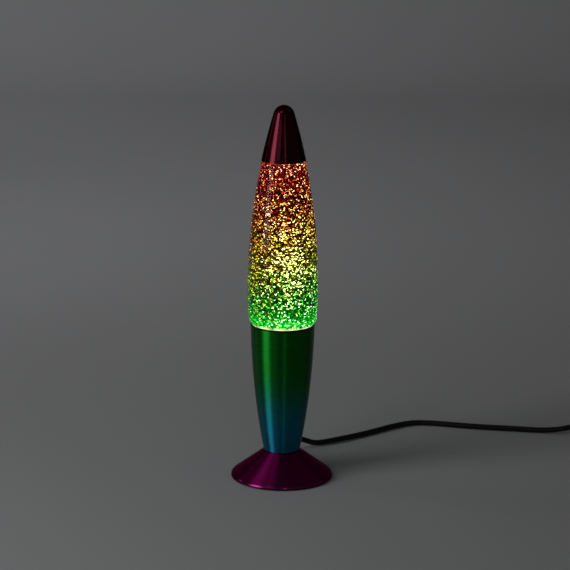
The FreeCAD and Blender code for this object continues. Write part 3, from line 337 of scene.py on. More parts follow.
def height_share(tree, low_mm, high_mm):
    """0 at one level and 1 at another."""
    parts = add_node(tree, "SeparateXYZ", {"Vector": object_place(tree)})
    made = add_node(tree, "MapRange", {"Value": parts.outputs["Z"], "From Min": low_mm * MM,
                                       "From Max": high_mm * MM})
    return made.outputs["Result"]


def dusted(tree, colour, dust_colour, amount, speck_mm=0.5):
    """A colour with settled dust over it."""
    settled = effect(tree, "settled_dust", Amount=amount, Speck_mm=speck_mm)["Dust"]
    return mixed(tree, settled, colour, dust_colour)


def round_z_tangent(tree, shader):
    around = add_node(tree, "Tangent", direction_type="RADIAL", axis="Z")
    tree.links.new(around.outputs["Tangent"], shader.inputs["Tangent"])


# Finishes. Levels are in mm, and where two are given the change runs from the first to the second.

FOOT_TOP = 29.5
CUP_RIM = 166.0
CAP_RIM = 338.0
FOOT_UNDERSIDE_PAINTED_SHADE = (1.7, 1.3)
FOOT_ROLLED_RIM = (5.0, 4.4)
FOOT_WIDEST = 2.8
CUP_RIM_PAINTED_SHADE = (CUP_RIM - 1.7, CUP_RIM - 1.1)
LIQUID_IN_CUP = (CUP_RIM - 1.0, CUP_RIM - 3.0)
BULB_FACE = (111.5, 112.5)
PIN_SLEEVE_END = 350.5


def cup_finish():
    """Spun lacquer, green to blue, whose fine rings draw each reflection out up and down, with painted shade
    along the top under the globe.
    """
    material, tree, shader = new_finish("green_to_blue_lacquer", Metallic=1.0, Anisotropic=0.96,
                                        Anisotropic_Rotation=0.25)
    level = height_share(tree, FOOT_TOP, CUP_RIM)
    spun = effect(tree, "spun_lines", Lines_per_mm=1.5, Wander=2.2)
    grain = effect(tree, "fine_grain", Size=0.35, Patch=30.0)
    fade = ramp(tree, level, [
        (0.0, (0.014, 0.230, 0.385)),
        (0.20, (0.013, 0.230, 0.345)),
        (0.34, (0.012, 0.228, 0.250)),
        (0.45, (0.010, 0.226, 0.128)),
        (0.55, (0.009, 0.224, 0.052)),
        (0.66, (0.009, 0.223, 0.021)),
        (1.0, (0.009, 0.225, 0.017)),
    ])
    lined = mixed(tree, ramp(tree, spun["Lines"], [(0.34, (0, 0, 0)), (0.66, (0.36, 0.36, 0.36))]), fade,
                  (0.1, 0.1, 0.1), "MULTIPLY")
    # Painted shade: a near-black band along the top of the wall, under the glass.
    rim_shade = height_share(tree, *CUP_RIM_PAINTED_SHADE)
    rim_wear_and_shade = mixed(tree, rim_shade, lined, (0.004, 0.012, 0.004))
    feed(tree, shader.inputs["Base Color"], dusted(tree, rim_wear_and_shade, (0.2, 0.2, 0.19), 0.15))
    glossy = spread(tree, spun["Bands"], 0.355, 0.415)
    feed(tree, shader.inputs["Roughness"], sums(tree, "MULTIPLY_ADD", grain["Patches"], 0.03, glossy))
    bump(tree, shader, spun["Lines"], 0.01, 0.4)
    round_z_tangent(tree, shader)
    return material


def foot_finish():
    material, tree, shader = new_finish("magenta_lacquer", Metallic=1.0, Anisotropic=0.85,
                                        Anisotropic_Rotation=0.25, Coat_Weight=0.04, Coat_Roughness=0.08,
                                        Specular_Tint=(0.6, 0.2, 0.4))
    spun = effect(tree, "spun_lines", Lines_per_mm=1.3, Wander=4.0)
    grain = effect(tree, "fine_grain", Size=0.4, Patch=26.0)
    base = mixed(tree, spread(tree, spun["Lines"], 0.0, 0.35), (0.225, 0.004, 0.10), (0.09, 0.002, 0.035))
    patchy = mixed(tree, spread(tree, grain["Patches"], 0.0, 0.3), base, (0.17, 0.004, 0.078))
    rubbed = effect(tree, "rubbed_edge", Level_mm=FOOT_WIDEST, Reach_mm=1.3)["Rubbed"]
    rim_wear_and_shade = mixed(tree, sums(tree, "MULTIPLY", rubbed, 0.35), patchy, (0.42, 0.16, 0.30))
    dusty = dusted(tree, rim_wear_and_shade, (0.25, 0.2, 0.22), 0.15, 0.55)
    # Painted shade: the bottom of the rolled rim, where it turns under, darkened to near black.
    underside_shade = height_share(tree, *FOOT_UNDERSIDE_PAINTED_SHADE)
    feed(tree, shader.inputs["Base Color"], mixed(tree, underside_shade, dusty, (0.006, 0.001, 0.003)))
    rolled_rim = height_share(tree, *FOOT_ROLLED_RIM)
    feed(tree, shader.inputs["Roughness"], sums(tree, "MULTIPLY_ADD", rolled_rim, -0.08,
                                                spread(tree, spun["Bands"], 0.34, 0.42)))
    bump(tree, shader, spun["Lines"], 0.01, 0.4)
    round_z_tangent(tree, shader)
    return material


def cap_finish():
    material, tree, shader = new_finish("maroon_gloss_lacquer", Metallic=1.0, Coat_Weight=0.12,
                                        Coat_Roughness=0.03, Specular_Tint=(0.35, 0.12, 0.12))
    grain = effect(tree, "fine_grain", Size=0.12, Patch=14.0)
    flake = ramp(tree, grain["Grain"], [(0.45, (0.053, 0.003, 0.0085)), (0.62, (0.078, 0.005, 0.014))])
    deep = mixed(tree, spread(tree, grain["Patches"], 0.0, 0.25), flake, (0.05, 0.003, 0.008))
    rubbed = effect(tree, "rubbed_edge", Level_mm=CAP_RIM, Reach_mm=0.6)["Rubbed"]
    rim_wear_and_shade = mixed(tree, sums(tree, "MULTIPLY", rubbed, 0.4), deep, (0.16, 0.06, 0.07))
    feed(tree, shader.inputs["Base Color"], dusted(tree, rim_wear_and_shade, (0.2, 0.16, 0.17), 0.12))
    feed(tree, shader.inputs["Roughness"], spread(tree, grain["Patches"], 0.17, 0.25))
    bump(tree, shader, grain["Patches"], 0.05, 0.15)
    return material


def plated_finish(name, light, dark, rough=(0.22, 0.40), thread=None):
    material, tree, shader = new_finish(name, Metallic=1.0)
    grain = effect(tree, "fine_grain", Size=0.3, Patch=5.0)
    feed(tree, shader.inputs["Base Color"], mixed(tree, grain["Patches"], light, dark))
    feed(tree, shader.inputs["Roughness"], spread(tree, grain["Patches"], *rough))
    if thread:
        bump(tree, shader, effect(tree, "screw_thread", **thread)["Height"], 0.8)
    else:
        bump(tree, shader, grain["Grain"], 0.02, 0.4)
    return material


def moulded_finish(name, colour, tint, rough=(0.32, 0.5), grain_mm=0.35, depth_mm=0.03, dust=0.25):
    """Plastic, rubber or foam with a moulded grain and a little dust."""
    material, tree, shader = new_finish(name)
    grain = effect(tree, "fine_grain", Size=grain_mm, Patch=9.0)
    base = mixed(tree, spread(tree, grain["Patches"], 0.0, 0.6), colour, tint)
    feed(tree, shader.inputs["Base Color"], dusted(tree, base, (0.35, 0.34, 0.33), dust))
    feed(tree, shader.inputs["Roughness"], spread(tree, grain["Patches"], *rough))
    bump(tree, shader, grain["Grain"], depth_mm)
    return material


def pin_finish():
    """Nickel pins with a black sleeve over the half next to the plug's body."""
    material, tree, shader = new_finish("sleeved_nickel_pin")
    parts = add_node(tree, "SeparateXYZ", {"Vector": object_place(tree)})
    sleeved = sums(tree, "GREATER_THAN", parts.outputs["X"], PIN_SLEEVE_END * MM)
    bare = sums(tree, "SUBTRACT", 1, sleeved)
    grain = effect(tree, "fine_grain", Size=0.3, Patch=4.0)
    metal = mixed(tree, grain["Patches"], (0.66, 0.64, 0.58), (0.50, 0.48, 0.44))
    feed(tree, shader.inputs["Base Color"], mixed(tree, sleeved, metal, (0.02, 0.02, 0.021)))
    feed(tree, shader.inputs["Metallic"], bare)
    feed(tree, shader.inputs["Roughness"], spread(tree, grain["Patches"], 0.22, 0.42))
    bump(tree, shader, sleeved, 0.15)
    return material


def clear_glass_finish(name, tint, ior=1.45):
    material, tree, shader = new_finish(name, Transmission_Weight=1.0, IOR=ior,
                                        Specular_Tint=(0.35, 0.33, 0.33))
    grain = effect(tree, "fine_grain", Size=1.5, Patch=22.0)
    clearer = spread(tree, grain["Patches"], 0.0, 0.3)
    feed(tree, shader.inputs["Base Color"], mixed(tree, clearer, tint, (1, 1, 1)))
    feed(tree, shader.inputs["Roughness"], spread(tree, grain["Patches"], 0.0, 0.015))
    return material


def bulb_glass_finish():
    """Mirrored up to its widest point, frosted above."""
    material, tree, shader = new_finish("reflector_bulb_glass", Transmission_Weight=0.25, IOR=1.5,
                                        Metallic=0.4, Emission_Strength=1.0)
    grain = effect(tree, "fine_grain", Size=0.25, Patch=8.0)
    face = height_share(tree, *BULB_FACE)
    feed(tree, shader.inputs["Base Color"], mixed(tree, face, (0.78, 0.78, 0.76), (0.95, 0.92, 0.86)))
    feed(tree, shader.inputs["Roughness"], sums(tree, "MULTIPLY_ADD", face, 0.4,
                                                spread(tree, grain["Patches"], 0.10, 0.2)))
    feed(tree, shader.inputs["Emission Color"], mixed(tree, face, (0, 0, 0), (1.0, 0.72, 0.36)))
    return material


def glowing_wire_finish():
    material, tree, shader = new_finish("glowing_filament", Metallic=0.6, Emission_Strength=4.0)
    grain = effect(tree, "fine_grain", Size=0.2, Patch=2.0)
    feed(tree, shader.inputs["Base Color"], mixed(tree, grain["Patches"], (0.8, 0.6, 0.3), (0.4, 0.3, 0.2)))
    heat = mixed(tree, grain["Patches"], (1.0, 0.62, 0.22), (1.0, 0.8, 0.45))
    feed(tree, shader.inputs["Emission Color"], heat)
    return material


def cord_finish():
    """Soft black sheath with a fine grain and a little dust."""
    material, tree, shader = new_finish("black_sheath", Specular_IOR_Level=0.25)
    grain = effect(tree, "fine_grain", Size=0.45, Patch=16.0)
    scuffs = spread(tree, grain["Patches"], 0.0, 0.8)
    sheath = mixed(tree, scuffs, (0.003, 0.003, 0.0032), (0.008, 0.008, 0.0085))
    feed(tree, shader.inputs["Base Color"], dusted(tree, sheath, (0.2, 0.2, 0.19), 0.06, 0.4))
    feed(tree, shader.inputs["Roughness"], spread(tree, grain["Patches"], 0.42, 0.62))
    bump(tree, shader, grain["Grain"], 0.04)
    return material


# Glitter liquid: colours and painted glow by height from the cup's rim to the cap's

FLAKE_TINT_SPREAD = 0.30
VIVID_GAIN = 1.7
BRIGHTEST_GLINT_GAIN = 3.8


def globe_levels(tree):
    """Height as a share of the globe: shifted by slow swirls and a lean to the right, and plain."""
    place = object_place(tree)
    parts = add_node(tree, "SeparateXYZ", {"Vector": place})
    level = add_node(tree, "MapRange", {"Value": parts.outputs["Z"], "From Min": CUP_RIM * MM,
                                        "From Max": CAP_RIM * MM}, clamp=False).outputs["Result"]
    swirl = add_node(tree, "TexNoise", {"Vector": place, "Scale": 38.0, "Detail": 2.0})
    lean = sums(tree, "MULTIPLY", parts.outputs["X"], -1.6)
    drift = sums(tree, "MULTIPLY_ADD", swirl.outputs["Fac"], 0.16, -0.08)
    shifted = sums(tree, "ADD", level, sums(tree, "ADD", drift, lean))
    return shifted, level


def liquid_finish():
    """Dyed liquid with the bulb's light painted in as a glow, in patches, with flakes sunk deep in it painted
    as glints.
    """
    material, tree, shader = new_finish("dyed_liquid_painted_glow", Emission_Strength=1.0, Specular_IOR_Level=0.0,
                                        Roughness=0.9)
    shifted, level = globe_levels(tree)
    # Painted glow by height in the globe's tints, with a painted highlight line at the seat above the cup's
    # rim and a pale painted ring under the cap.
    between = ramp(tree, level, [
        (0.0, srgb(255, 255, 225)),
        (0.012, srgb(240, 255, 165)),
        (0.020, srgb(6, 205, 45)),
        (0.05, srgb(2, 150, 22)),
        (0.09, srgb(2, 96, 8)),
        (0.14, srgb(2, 66, 4)),
        (0.22, srgb(3, 42, 3)),
        (0.31, srgb(10, 28, 3)),
        (0.43, srgb(36, 24, 3)),
        (0.56, srgb(36, 12, 2)),
        (0.66, srgb(40, 4, 2)),
        (0.80, srgb(42, 2, 2)),
        (0.984, srgb(66, 2, 4)),
        (0.992, srgb(175, 75, 52)),
    ])
    place = object_place(tree)
    # Painted glow, brighter and dimmer in patches.
    glow_patches = add_node(tree, "TexNoise", {"Vector": place, "Scale": 150.0, "Detail": 4.0, "Roughness": 0.6})
    depth = ramp(tree, glow_patches.outputs["Fac"], [(0.36, (0.25, 0.25, 0.25)), (0.64, (1.5, 1.5, 1.5))])
    # Flakes sunk deep in the liquid, painted as glints of the bulb's light.
    sunk = add_node(tree, "TexVoronoi", {"Vector": place, "Scale": 430.0, "Randomness": 1.0})
    pick = add_node(tree, "SeparateColor", {"Color": sunk.outputs["Color"]})
    picked = sums(tree, "GREATER_THAN", pick.outputs["Red"], 0.62)
    near_centre = sums(tree, "LESS_THAN", sunk.outputs["Distance"], 0.42)
    far_flake = sums(tree, "MULTIPLY", picked, near_centre)
    # Below the rim the painted glow is plain green, without the seat line.
    in_cup = height_share(tree, *LIQUID_IN_CUP)
    behind = mixed(tree, in_cup, between, srgb(6, 150, 32))
    glow = mixed(tree, 1.0, behind, depth, "MULTIPLY")
    far_colour = ramp(tree, shifted, [
        (0.0, srgb(30, 220, 60)),
        (0.2, srgb(30, 130, 20)),
        (0.35, srgb(130, 130, 15)),
        (0.5, srgb(150, 100, 10)),
        (0.68, srgb(150, 40, 10)),
        (1.0, srgb(160, 20, 18)),
    ])
    far_share = sums(tree, "MULTIPLY", far_flake, 0.45)
    feed(tree, shader.inputs["Emission Color"], mixed(tree, far_share, glow, far_colour))
    # Base colour: half the height ramp, its painted lines included.
    feed(tree, shader.inputs["Base Color"], mixed(tree, 0.5, between, (0, 0, 0)))
    return material


def flake_finish():
    """Foil flakes whose glint of the bulb's light is painted as a glow: each flake carries its own flash,
    from unlit to full, and its own tint.
    """
    material, tree, shader = new_finish("glitter_foil_painted_glint", Emission_Strength=1.0, Roughness=0.35,
                                        Specular_IOR_Level=0.1)
    shifted, _ = globe_levels(tree)
    flash = add_node(tree, "Attribute", attribute_name="flash").outputs["Fac"]
    tint = add_node(tree, "Attribute", attribute_name="tint").outputs["Fac"]
    centred = sums(tree, "SUBTRACT", shifted, FLAKE_TINT_SPREAD / 2)
    turned = sums(tree, "MULTIPLY_ADD", tint, FLAKE_TINT_SPREAD, centred)
    middling = ramp(tree, turned, [
        (0.0, srgb(20, 235, 52)),
        (0.08, srgb(16, 205, 30)),
        (0.16, srgb(26, 178, 26)),
        (0.25, srgb(80, 165, 30)),
        (0.36, srgb(160, 165, 30)),
        (0.48, srgb(195, 155, 25)),
        (0.58, srgb(180, 100, 20)),
        (0.66, srgb(160, 55, 12)),
        (0.80, srgb(165, 30, 14)),
        (1.0, srgb(180, 22, 18)),
    ])
    vivid = ramp(tree, turned, [
        (0.0, srgb(60, 252, 85)),
        (0.08, srgb(50, 250, 60)),
        (0.17, srgb(95, 245, 60)),
        (0.28, srgb(190, 240, 60)),
        (0.42, srgb(252, 238, 60)),
        (0.54, srgb(252, 210, 50)),
        (0.66, srgb(250, 145, 36)),
        (0.80, srgb(250, 100, 34)),
        (1.0, srgb(245, 75, 36)),
    ])
    blazing = ramp(tree, turned, [
        (0.0, srgb(195, 255, 185)),
        (0.10, srgb(190, 255, 165)),
        (0.26, srgb(235, 255, 150)),
        (0.5, srgb(255, 255, 145)),
        (0.66, srgb(255, 234, 116)),
        (0.80, srgb(255, 206, 128)),
        (1.0, srgb(255, 188, 138)),
    ])
    # Painted glints: dim flakes, then vivid ones, then the brightest near white.
    dim = mixed(tree, 1.0, middling, (0.03, 0.015, 0.02), "MULTIPLY")
    low = mixed(tree, ramp(tree, flash, [(0.36, (0, 0, 0)), (0.50, (1, 1, 1))]), dim, middling)
    lit = mixed(tree, 1.0, vivid, (VIVID_GAIN,) * 3, "MULTIPLY")
    lively = mixed(tree, ramp(tree, flash, [(0.56, (0, 0, 0)), (0.68, (1, 1, 1))]), low, lit)
    brightest_glint = mixed(tree, 1.0, blazing, (BRIGHTEST_GLINT_GAIN,) * 3, "MULTIPLY")
    high = mixed(tree, ramp(tree, flash, [(0.78, (0, 0, 0)), (0.88, (1, 1, 1))]), lively, brightest_glint)
    feed(tree, shader.inputs["Emission Color"], high)
    feed(tree, shader.inputs["Base Color"], mixed(tree, 0.6, middling, (0.02, 0.02, 0.02)))
    return material


FINISHES = {
    "cup": cup_finish(),
    "foot": foot_finish(),
    "cap": cap_finish(),
    "zinc": plated_finish("zinc_plate", (0.60, 0.61, 0.63), (0.42, 0.43, 0.45)),
    "thread_zinc": plated_finish("threaded_zinc", (0.60, 0.61, 0.63), (0.42, 0.43, 0.45),
                                 thread={"Pitch_mm": 1.0, "Start_mm": 10.0, "End_mm": 45.0}),
    "brass": plated_finish("rolled_brass", (0.74, 0.54, 0.24), (0.55, 0.38, 0.15)),
    "shell_brass": plated_finish("threaded_brass", (0.74, 0.54, 0.24), (0.55, 0.38, 0.15),
                                 thread={"Pitch_mm": 2.82, "Start_mm": 53.0, "End_mm": 71.0}),
    "nickel": plated_finish("solder_nickel", (0.68, 0.67, 0.63), (0.50, 0.49, 0.46)),
    "bulb_cap": plated_finish("threaded_bulb_cap", (0.74, 0.74, 0.73), (0.60, 0.60, 0.60),
                              thread={"Pitch_mm": 2.82, "Start_mm": 60.5, "End_mm": 76.0}),
    "crown": plated_finish("lacquered_tinplate", (0.64, 0.62, 0.56), (0.48, 0.46, 0.41), rough=(0.25, 0.45)),
    "plate": plated_finish("black_plate", (0.05, 0.05, 0.052), (0.025, 0.025, 0.026), rough=(0.4, 0.6)),
    "pin": pin_finish(),
    "cord": cord_finish(),
    "housing": moulded_finish("satin_black_housing", (0.014, 0.014, 0.015), (0.032, 0.032, 0.033),
                              rough=(0.28, 0.42)),
    "rocker": moulded_finish("rocker_black", (0.03, 0.03, 0.032), (0.05, 0.05, 0.052), rough=(0.18, 0.3),
                             depth_mm=0.01),
    "soft_black": moulded_finish("soft_black_boot", (0.012, 0.012, 0.012), (0.025, 0.025, 0.026),
                                 rough=(0.5, 0.7)),
    "holder": moulded_finish("black_holder", (0.016, 0.015, 0.015), (0.035, 0.034, 0.033), rough=(0.4, 0.6)),
    "foam": moulded_finish("foam_pad", (0.018, 0.018, 0.018), (0.05, 0.05, 0.05), rough=(0.85, 1.0),
                           grain_mm=0.7, depth_mm=0.25, dust=0.5),
    "ceramic": moulded_finish("white_ceramic", (0.82, 0.80, 0.75), (0.70, 0.67, 0.61), rough=(0.35, 0.6)),
    "liner": moulded_finish("soft_liner", (0.84, 0.84, 0.81), (0.72, 0.72, 0.68), rough=(0.5, 0.7)),
    "live": moulded_finish("brown_core", (0.18, 0.07, 0.025), (0.26, 0.12, 0.05), dust=0.05),
    "neutral": moulded_finish("blue_core", (0.03, 0.10, 0.33), (0.06, 0.17, 0.42), dust=0.05),
    "tie": moulded_finish("tie_strip", (0.03, 0.03, 0.032), (0.06, 0.06, 0.062), rough=(0.4, 0.55), dust=0.1),
    "globe_glass": clear_glass_finish("filled_bottle_glass", (0.97, 0.99, 0.98), ior=1.38),
    "stem_glass": clear_glass_finish("stem_glass", (0.92, 0.95, 0.95)),
    "insulator": moulded_finish("black_glass_insulator", (0.02, 0.02, 0.03), (0.035, 0.03, 0.04),
                                rough=(0.08, 0.2), depth_mm=0.02, dust=0.0),
    "bulb_glass": bulb_glass_finish(),
    "filament": glowing_wire_finish(),
    "liquid": liquid_finish(),
    "flakes": flake_finish(),
}

NODE_FINISH = {
    "foot_shell": "foot", "cup_shell": "cup", "cap_shell": "cap",
    "base_pad": "foam", "bottom_plate": "plate", "plate_screws": "zinc", "foot_bracket": "zinc",
    "nipple": "thread_zinc", "nipple_nut": "zinc", "lock_washer": "zinc", "cup_washer": "zinc",
    "cord_bushing": "soft_black", "cord_inner": "cord", "conductor_live": "live",
    "conductor_neutral": "neutral", "holder_base": "holder", "holder_core": "ceramic",
    "holder_sleeve": "holder", "screw_shell": "shell_brass", "centre_contact": "brass",
    "terminal_screws": "brass", "bulb_contact": "nickel", "bulb_insulator": "insulator",
    "bulb_cap": "bulb_cap", "bulb_glass": "bulb_glass", "bulb_stem": "stem_glass",
    "filament": "filament", "closure_liner": "liner", "crown_closure": "crown",
    "switch_bottom": "housing", "switch_top": "housing", "switch_rocker": "rocker",
    "rocker_pin": "zinc", "switch_contacts": "brass", "switch_screws": "zinc",
    "plug_body": "housing", "plug_pins": "pin", "plug_boot": "soft_black",
}


def give_finish(piece, finish):
    piece.data.materials.clear()
    piece.data.materials.append(FINISHES[finish])


for node_name, finish_name in NODE_FINISH.items():
    give_finish(nodes[node_name], finish_name)


# Modelling by hand

def pick_only(piece):
    bpy.ops.object.select_all(action="DESELECT")
    piece.select_set(True)
    bpy.context.view_layer.objects.active = piece


def arc_rows(start, end, radius, rows):
    """Rows of radius and height on the short arc after start, up to end, round a centre on its left."""
    start, end = Vector(start), Vector(end)
    chord = end - start
    reach = math.sqrt(radius ** 2 - chord.length_squared / 4)
    aside = Vector((-chord.y, chord.x)).normalized()
    centre = (start + end) / 2 + aside * reach
    first, last = start - centre, end - centre
    swing = first.angle_signed(last)
    turned = [first.copy() for _ in range(rows)]
    places = []
    for row, spoke in enumerate(turned, start=1):
        spoke.rotate(Matrix.Rotation(-swing * row / rows, 2))
        places.append(tuple(centre + spoke))
    return places


def raise_form(name, rows, sides):
    """A round form raised from a flat disc: each row extrudes the last one to its radius and height."""
    bpy.ops.object.select_all(action="DESELECT")
    first_radius, first_height = rows[0]
    bpy.ops.mesh.primitive_circle_add(vertices=sides, radius=first_radius * MM, fill_type="TRIFAN",
                                      location=(0, 0, first_height * MM))
    piece = bpy.context.active_object
    piece.name = piece.data.name = name
    bpy.ops.object.transform_apply(location=True)
    bpy.ops.object.mode_set(mode="EDIT")
    bpy.ops.mesh.select_mode(type="EDGE")
    bpy.ops.mesh.select_all(action="SELECT")
    bpy.ops.mesh.region_to_loop()
    radius, height = first_radius, first_height
    for next_radius, next_height in rows[1:]:
        bpy.ops.mesh.extrude_edges_move(TRANSFORM_OT_translate={"value": (0, 0, (next_height - height) * MM)})
        share = next_radius / radius
        bpy.ops.transform.resize(value=(share, share, 1), center_override=(0, 0, next_height * MM))
        radius, height = next_radius, next_height
    bpy.ops.mesh.fill()
    bpy.ops.mesh.select_all(action="SELECT")
    bpy.ops.mesh.remove_doubles(threshold=0.000001)
    bpy.ops.mesh.normals_make_consistent(inside=False)
    bpy.ops.object.mode_set(mode="OBJECT")
    bpy.ops.object.shade_smooth_by_angle(angle=math.radians(28))
    return piece


# The bottle's outline: places are a radius and a height in mm
BOTTLE_BASE = 140.0
PUNT_RADIUS = 22.0
PUNT_DEPTH = 3.0
PUNT_STEPS = 6
HEEL_LOW = (24.3, BOTTLE_BASE)
HEEL_TOP = (29.3, 145.0)
HEEL_ROUND = 5.0
SEAT = (31.6, CUP_RIM)
SHOULDER_ROUND = 7.0
BELLY_LOW = (35.35, 171.5)
BELLY_TOP = (23.0, 335.5)
BELLY_ROUND = 606.0
TOP_CORNER = (21.4, 338.2)
TOP_CORNER_ROUND = 3.0
NECK_AND_LIP = [(12.4, 346.5), (12.4, 352.0), (13.3, 352.6), (13.3, 358.7), (13.0, 359.0)]
BORE_RADIUS = 9.6
BORE_MOUTH = [(9.9, 359.0), (BORE_RADIUS, 358.7)]
LIQUID_TOP = 350.0


def bottle_rows():
    """Outside of the bottle, from its pushed-up base to its lip, then down the bore to the liquid."""
    punt_round = (PUNT_RADIUS ** 2 + PUNT_DEPTH ** 2) / (2 * PUNT_DEPTH)
    rows = [(1.0, BOTTLE_BASE + PUNT_DEPTH)]
    for step in range(1, PUNT_STEPS + 1):
        radius = PUNT_RADIUS * step / PUNT_STEPS
        sag = punt_round - math.sqrt(punt_round ** 2 - radius ** 2)
        rows.append((radius, BOTTLE_BASE + PUNT_DEPTH - sag))
    rows.append(HEEL_LOW)
    rows += arc_rows(HEEL_LOW, HEEL_TOP, HEEL_ROUND, 6)
    rows.append(SEAT)
    rows += arc_rows(SEAT, BELLY_LOW, SHOULDER_ROUND, 6)
    rows += arc_rows(BELLY_LOW, BELLY_TOP, BELLY_ROUND, 40)
    rows += arc_rows(BELLY_TOP, TOP_CORNER, TOP_CORNER_ROUND, 4)
    rows += NECK_AND_LIP + BORE_MOUTH + [(BORE_RADIUS, LIQUID_TOP)]
    return rows


def liquid_rows(inset):
    """Body of glowing liquid, a little inside the bottle's wall."""
    belly_low = (BELLY_LOW[0] - inset, BELLY_LOW[1] + 1)
    belly_top = (BELLY_TOP[0] - inset, BELLY_TOP[1])
    neck = BORE_RADIUS - inset / 2
    rows = [(1.0, BOTTLE_BASE + PUNT_DEPTH + inset), (20.0, BOTTLE_BASE + 0.5 + inset)]
    rows += [(HEEL_LOW[0], BOTTLE_BASE + inset), (HEEL_TOP[0] - inset, HEEL_TOP[1] + 1 + inset / 2)]
    rows += [(SEAT[0] - inset * 0.8, CUP_RIM), belly_low]
    rows += arc_rows(belly_low, belly_top, BELLY_ROUND, 30)
    rows += [(neck, 343.0), (neck, LIQUID_TOP - 1.5)]
    return rows


INSET = 4.4
bottle_glass = raise_form("bottle_glass", bottle_rows(), 120)
give_finish(bottle_glass, "globe_glass")
liquid_body = raise_form("liquid_body", liquid_rows(INSET), 96)
give_finish(liquid_body, "liquid")


# Glitter: one chip of foil, modelled once and scattered between the liquid's body and the wall

FLAKES = 13500
FLAKES_IN_CUP = 1300
FLAKE_HEIGHTS = (CUP_RIM + 2.0, CAP_RIM - 1.5)
FLAKE_HEIGHTS_IN_CUP = (BOTTLE_BASE + 6.0, CUP_RIM - 1.5)
FLAKE_DEPTHS = (2.9, INSET - 0.5)
FLAKE_LENGTHS = (1.2, 3.2)
FLAKE_WIDTHS = (0.7, 1.3)
FLAKE_TILTS = (-0.55, 0.55)
FLAKE_TURN = 0.7
RANDOM_START = 11
FLASH_POWER = 1.25
WIDEST = 36.5
BEAM_HEIGHT = 240
BEAM_REACH = 42
BEAM_GAIN = 0.21
CLUMP_TURN = math.radians(80)
UPPER_START = 250
UPPER_FULL = 300
UPPER_FINENESS = 0.22


def foil_chip():
    """Corners of one six-sided chip."""
    bpy.ops.object.select_all(action="DESELECT")
    bpy.ops.mesh.primitive_circle_add(vertices=6, radius=0.5 * MM, fill_type="NGON", location=(0, 0, 0))
    chip = bpy.context.active_object
    bpy.ops.object.mode_set(mode="EDIT")
    bpy.ops.mesh.select_all(action="SELECT")
    bpy.ops.transform.resize(value=(1.0, 0.9, 1))
    bpy.ops.object.mode_set(mode="OBJECT")
    corners = [vertex.co.copy() for vertex in chip.data.vertices]
    bpy.data.objects.remove(chip)
    return corners


def wall_radius(height):
    """Outer radius of the globe at a height."""
    above = [row for row in WALL_ROWS if row[1] >= height][0]
    below = [row for row in WALL_ROWS if row[1] <= height][-1]
    span = above[1] - below[1]
    share = (height - below[1]) / span if span else 0
    return below[0] + (above[0] - below[0]) * share


WALL_ROWS = [row for row in bottle_rows() if HEEL_TOP[1] <= row[1] <= TOP_CORNER[1]][:-1]


def upper_share(height):
    """0 up to the yellow band and 1 in the red part above it."""
    return min(1, max(0, (height - UPPER_START) / (UPPER_FULL - UPPER_START)))


def beam_boost(height, around):
    """The bulb lights the flakes most half way up, in a clump on two sides, and least on the flanks."""
    facing = math.cos(around + CLUMP_TURN) ** 4
    ripple = math.sin(3 * around + height / 14)
    clump = 1.25 * facing - 0.32 + 0.12 * ripple
    beam = BEAM_GAIN * clump * math.exp(-((height - BEAM_HEIGHT) / BEAM_REACH) ** 2)
    upper = upper_share(height)
    # Painted light: a little more on the +X side, and less on both flanks.
    lean = 0.035 - 0.02 * upper
    flank_loss = 0.12 - 0.06 * upper
    aside = math.cos(around)
    return beam + lean * aside - flank_loss * aside ** 2


def scatter_flakes():
    """All the flakes in one mesh, with each one's tint and its painted flash of the bulb's light as
    attributes.
    """
    chance = random.Random(RANDOM_START)
    chip = foil_chip()
    corners, faces, flashes, tints = [], [], [], []
    while len(faces) < FLAKES + FLAKES_IN_CUP:
        if len(faces) < FLAKES:
            height = chance.uniform(*FLAKE_HEIGHTS)
        else:
            height = chance.uniform(*FLAKE_HEIGHTS_IN_CUP)
        radius = wall_radius(height)
        if chance.uniform(0, WIDEST) > radius:
            continue
        depth = chance.uniform(*FLAKE_DEPTHS)
        around = chance.uniform(0, 2 * math.pi)
        tilt_across = Matrix.Rotation(chance.uniform(*FLAKE_TILTS), 4, "Y")
        tilt_along = Matrix.Rotation(chance.uniform(*FLAKE_TILTS), 4, "X")
        spin = Matrix.Rotation(chance.gauss(math.pi / 2, FLAKE_TURN), 4, "Z")
        outward = Matrix.Rotation(around, 4, "Z") @ Matrix.Rotation(math.pi / 2, 4, "Y")
        finer = 1 - UPPER_FINENESS * upper_share(height)
        length = chance.uniform(*FLAKE_LENGTHS) * finer
        width = chance.uniform(*FLAKE_WIDTHS) * finer
        size = Matrix.Diagonal((length, width, 1, 1))
        place = Matrix.Translation(((radius - depth) * math.cos(around) * MM,
                                    (radius - depth) * math.sin(around) * MM, height * MM))
        chip_place = place @ outward @ (tilt_across @ tilt_along) @ spin @ size
        first = len(corners)
        corners += [chip_place @ corner for corner in chip]
        faces.append(tuple(range(first, first + len(chip))))
        flashes.append(min(1, max(0, chance.random() ** FLASH_POWER + beam_boost(height, around))))
        tints.append(chance.random())
    mesh = bpy.data.meshes.new("glitter_flakes")
    mesh.from_pydata(corners, [], faces)
    for name, shares in (("flash", flashes), ("tint", tints)):
        attribute = mesh.attributes.new(name, "FLOAT", "POINT")
        attribute.data.foreach_set("value", [share for share in shares for _ in chip])
    piece = bpy.data.objects.new("glitter_flakes", mesh)
    bpy.context.scene.collection.objects.link(piece)
    return piece


glitter_flakes = scatter_flakes()
give_finish(glitter_flakes, "flakes")

for piece, replaced in ((bottle_glass, "bottle"), (liquid_body, "liquid")):
    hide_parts(replaced)
for piece in (bottle_glass, liquid_body, glitter_flakes):
    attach(piece, "globe")


# Tie round the put-away coil

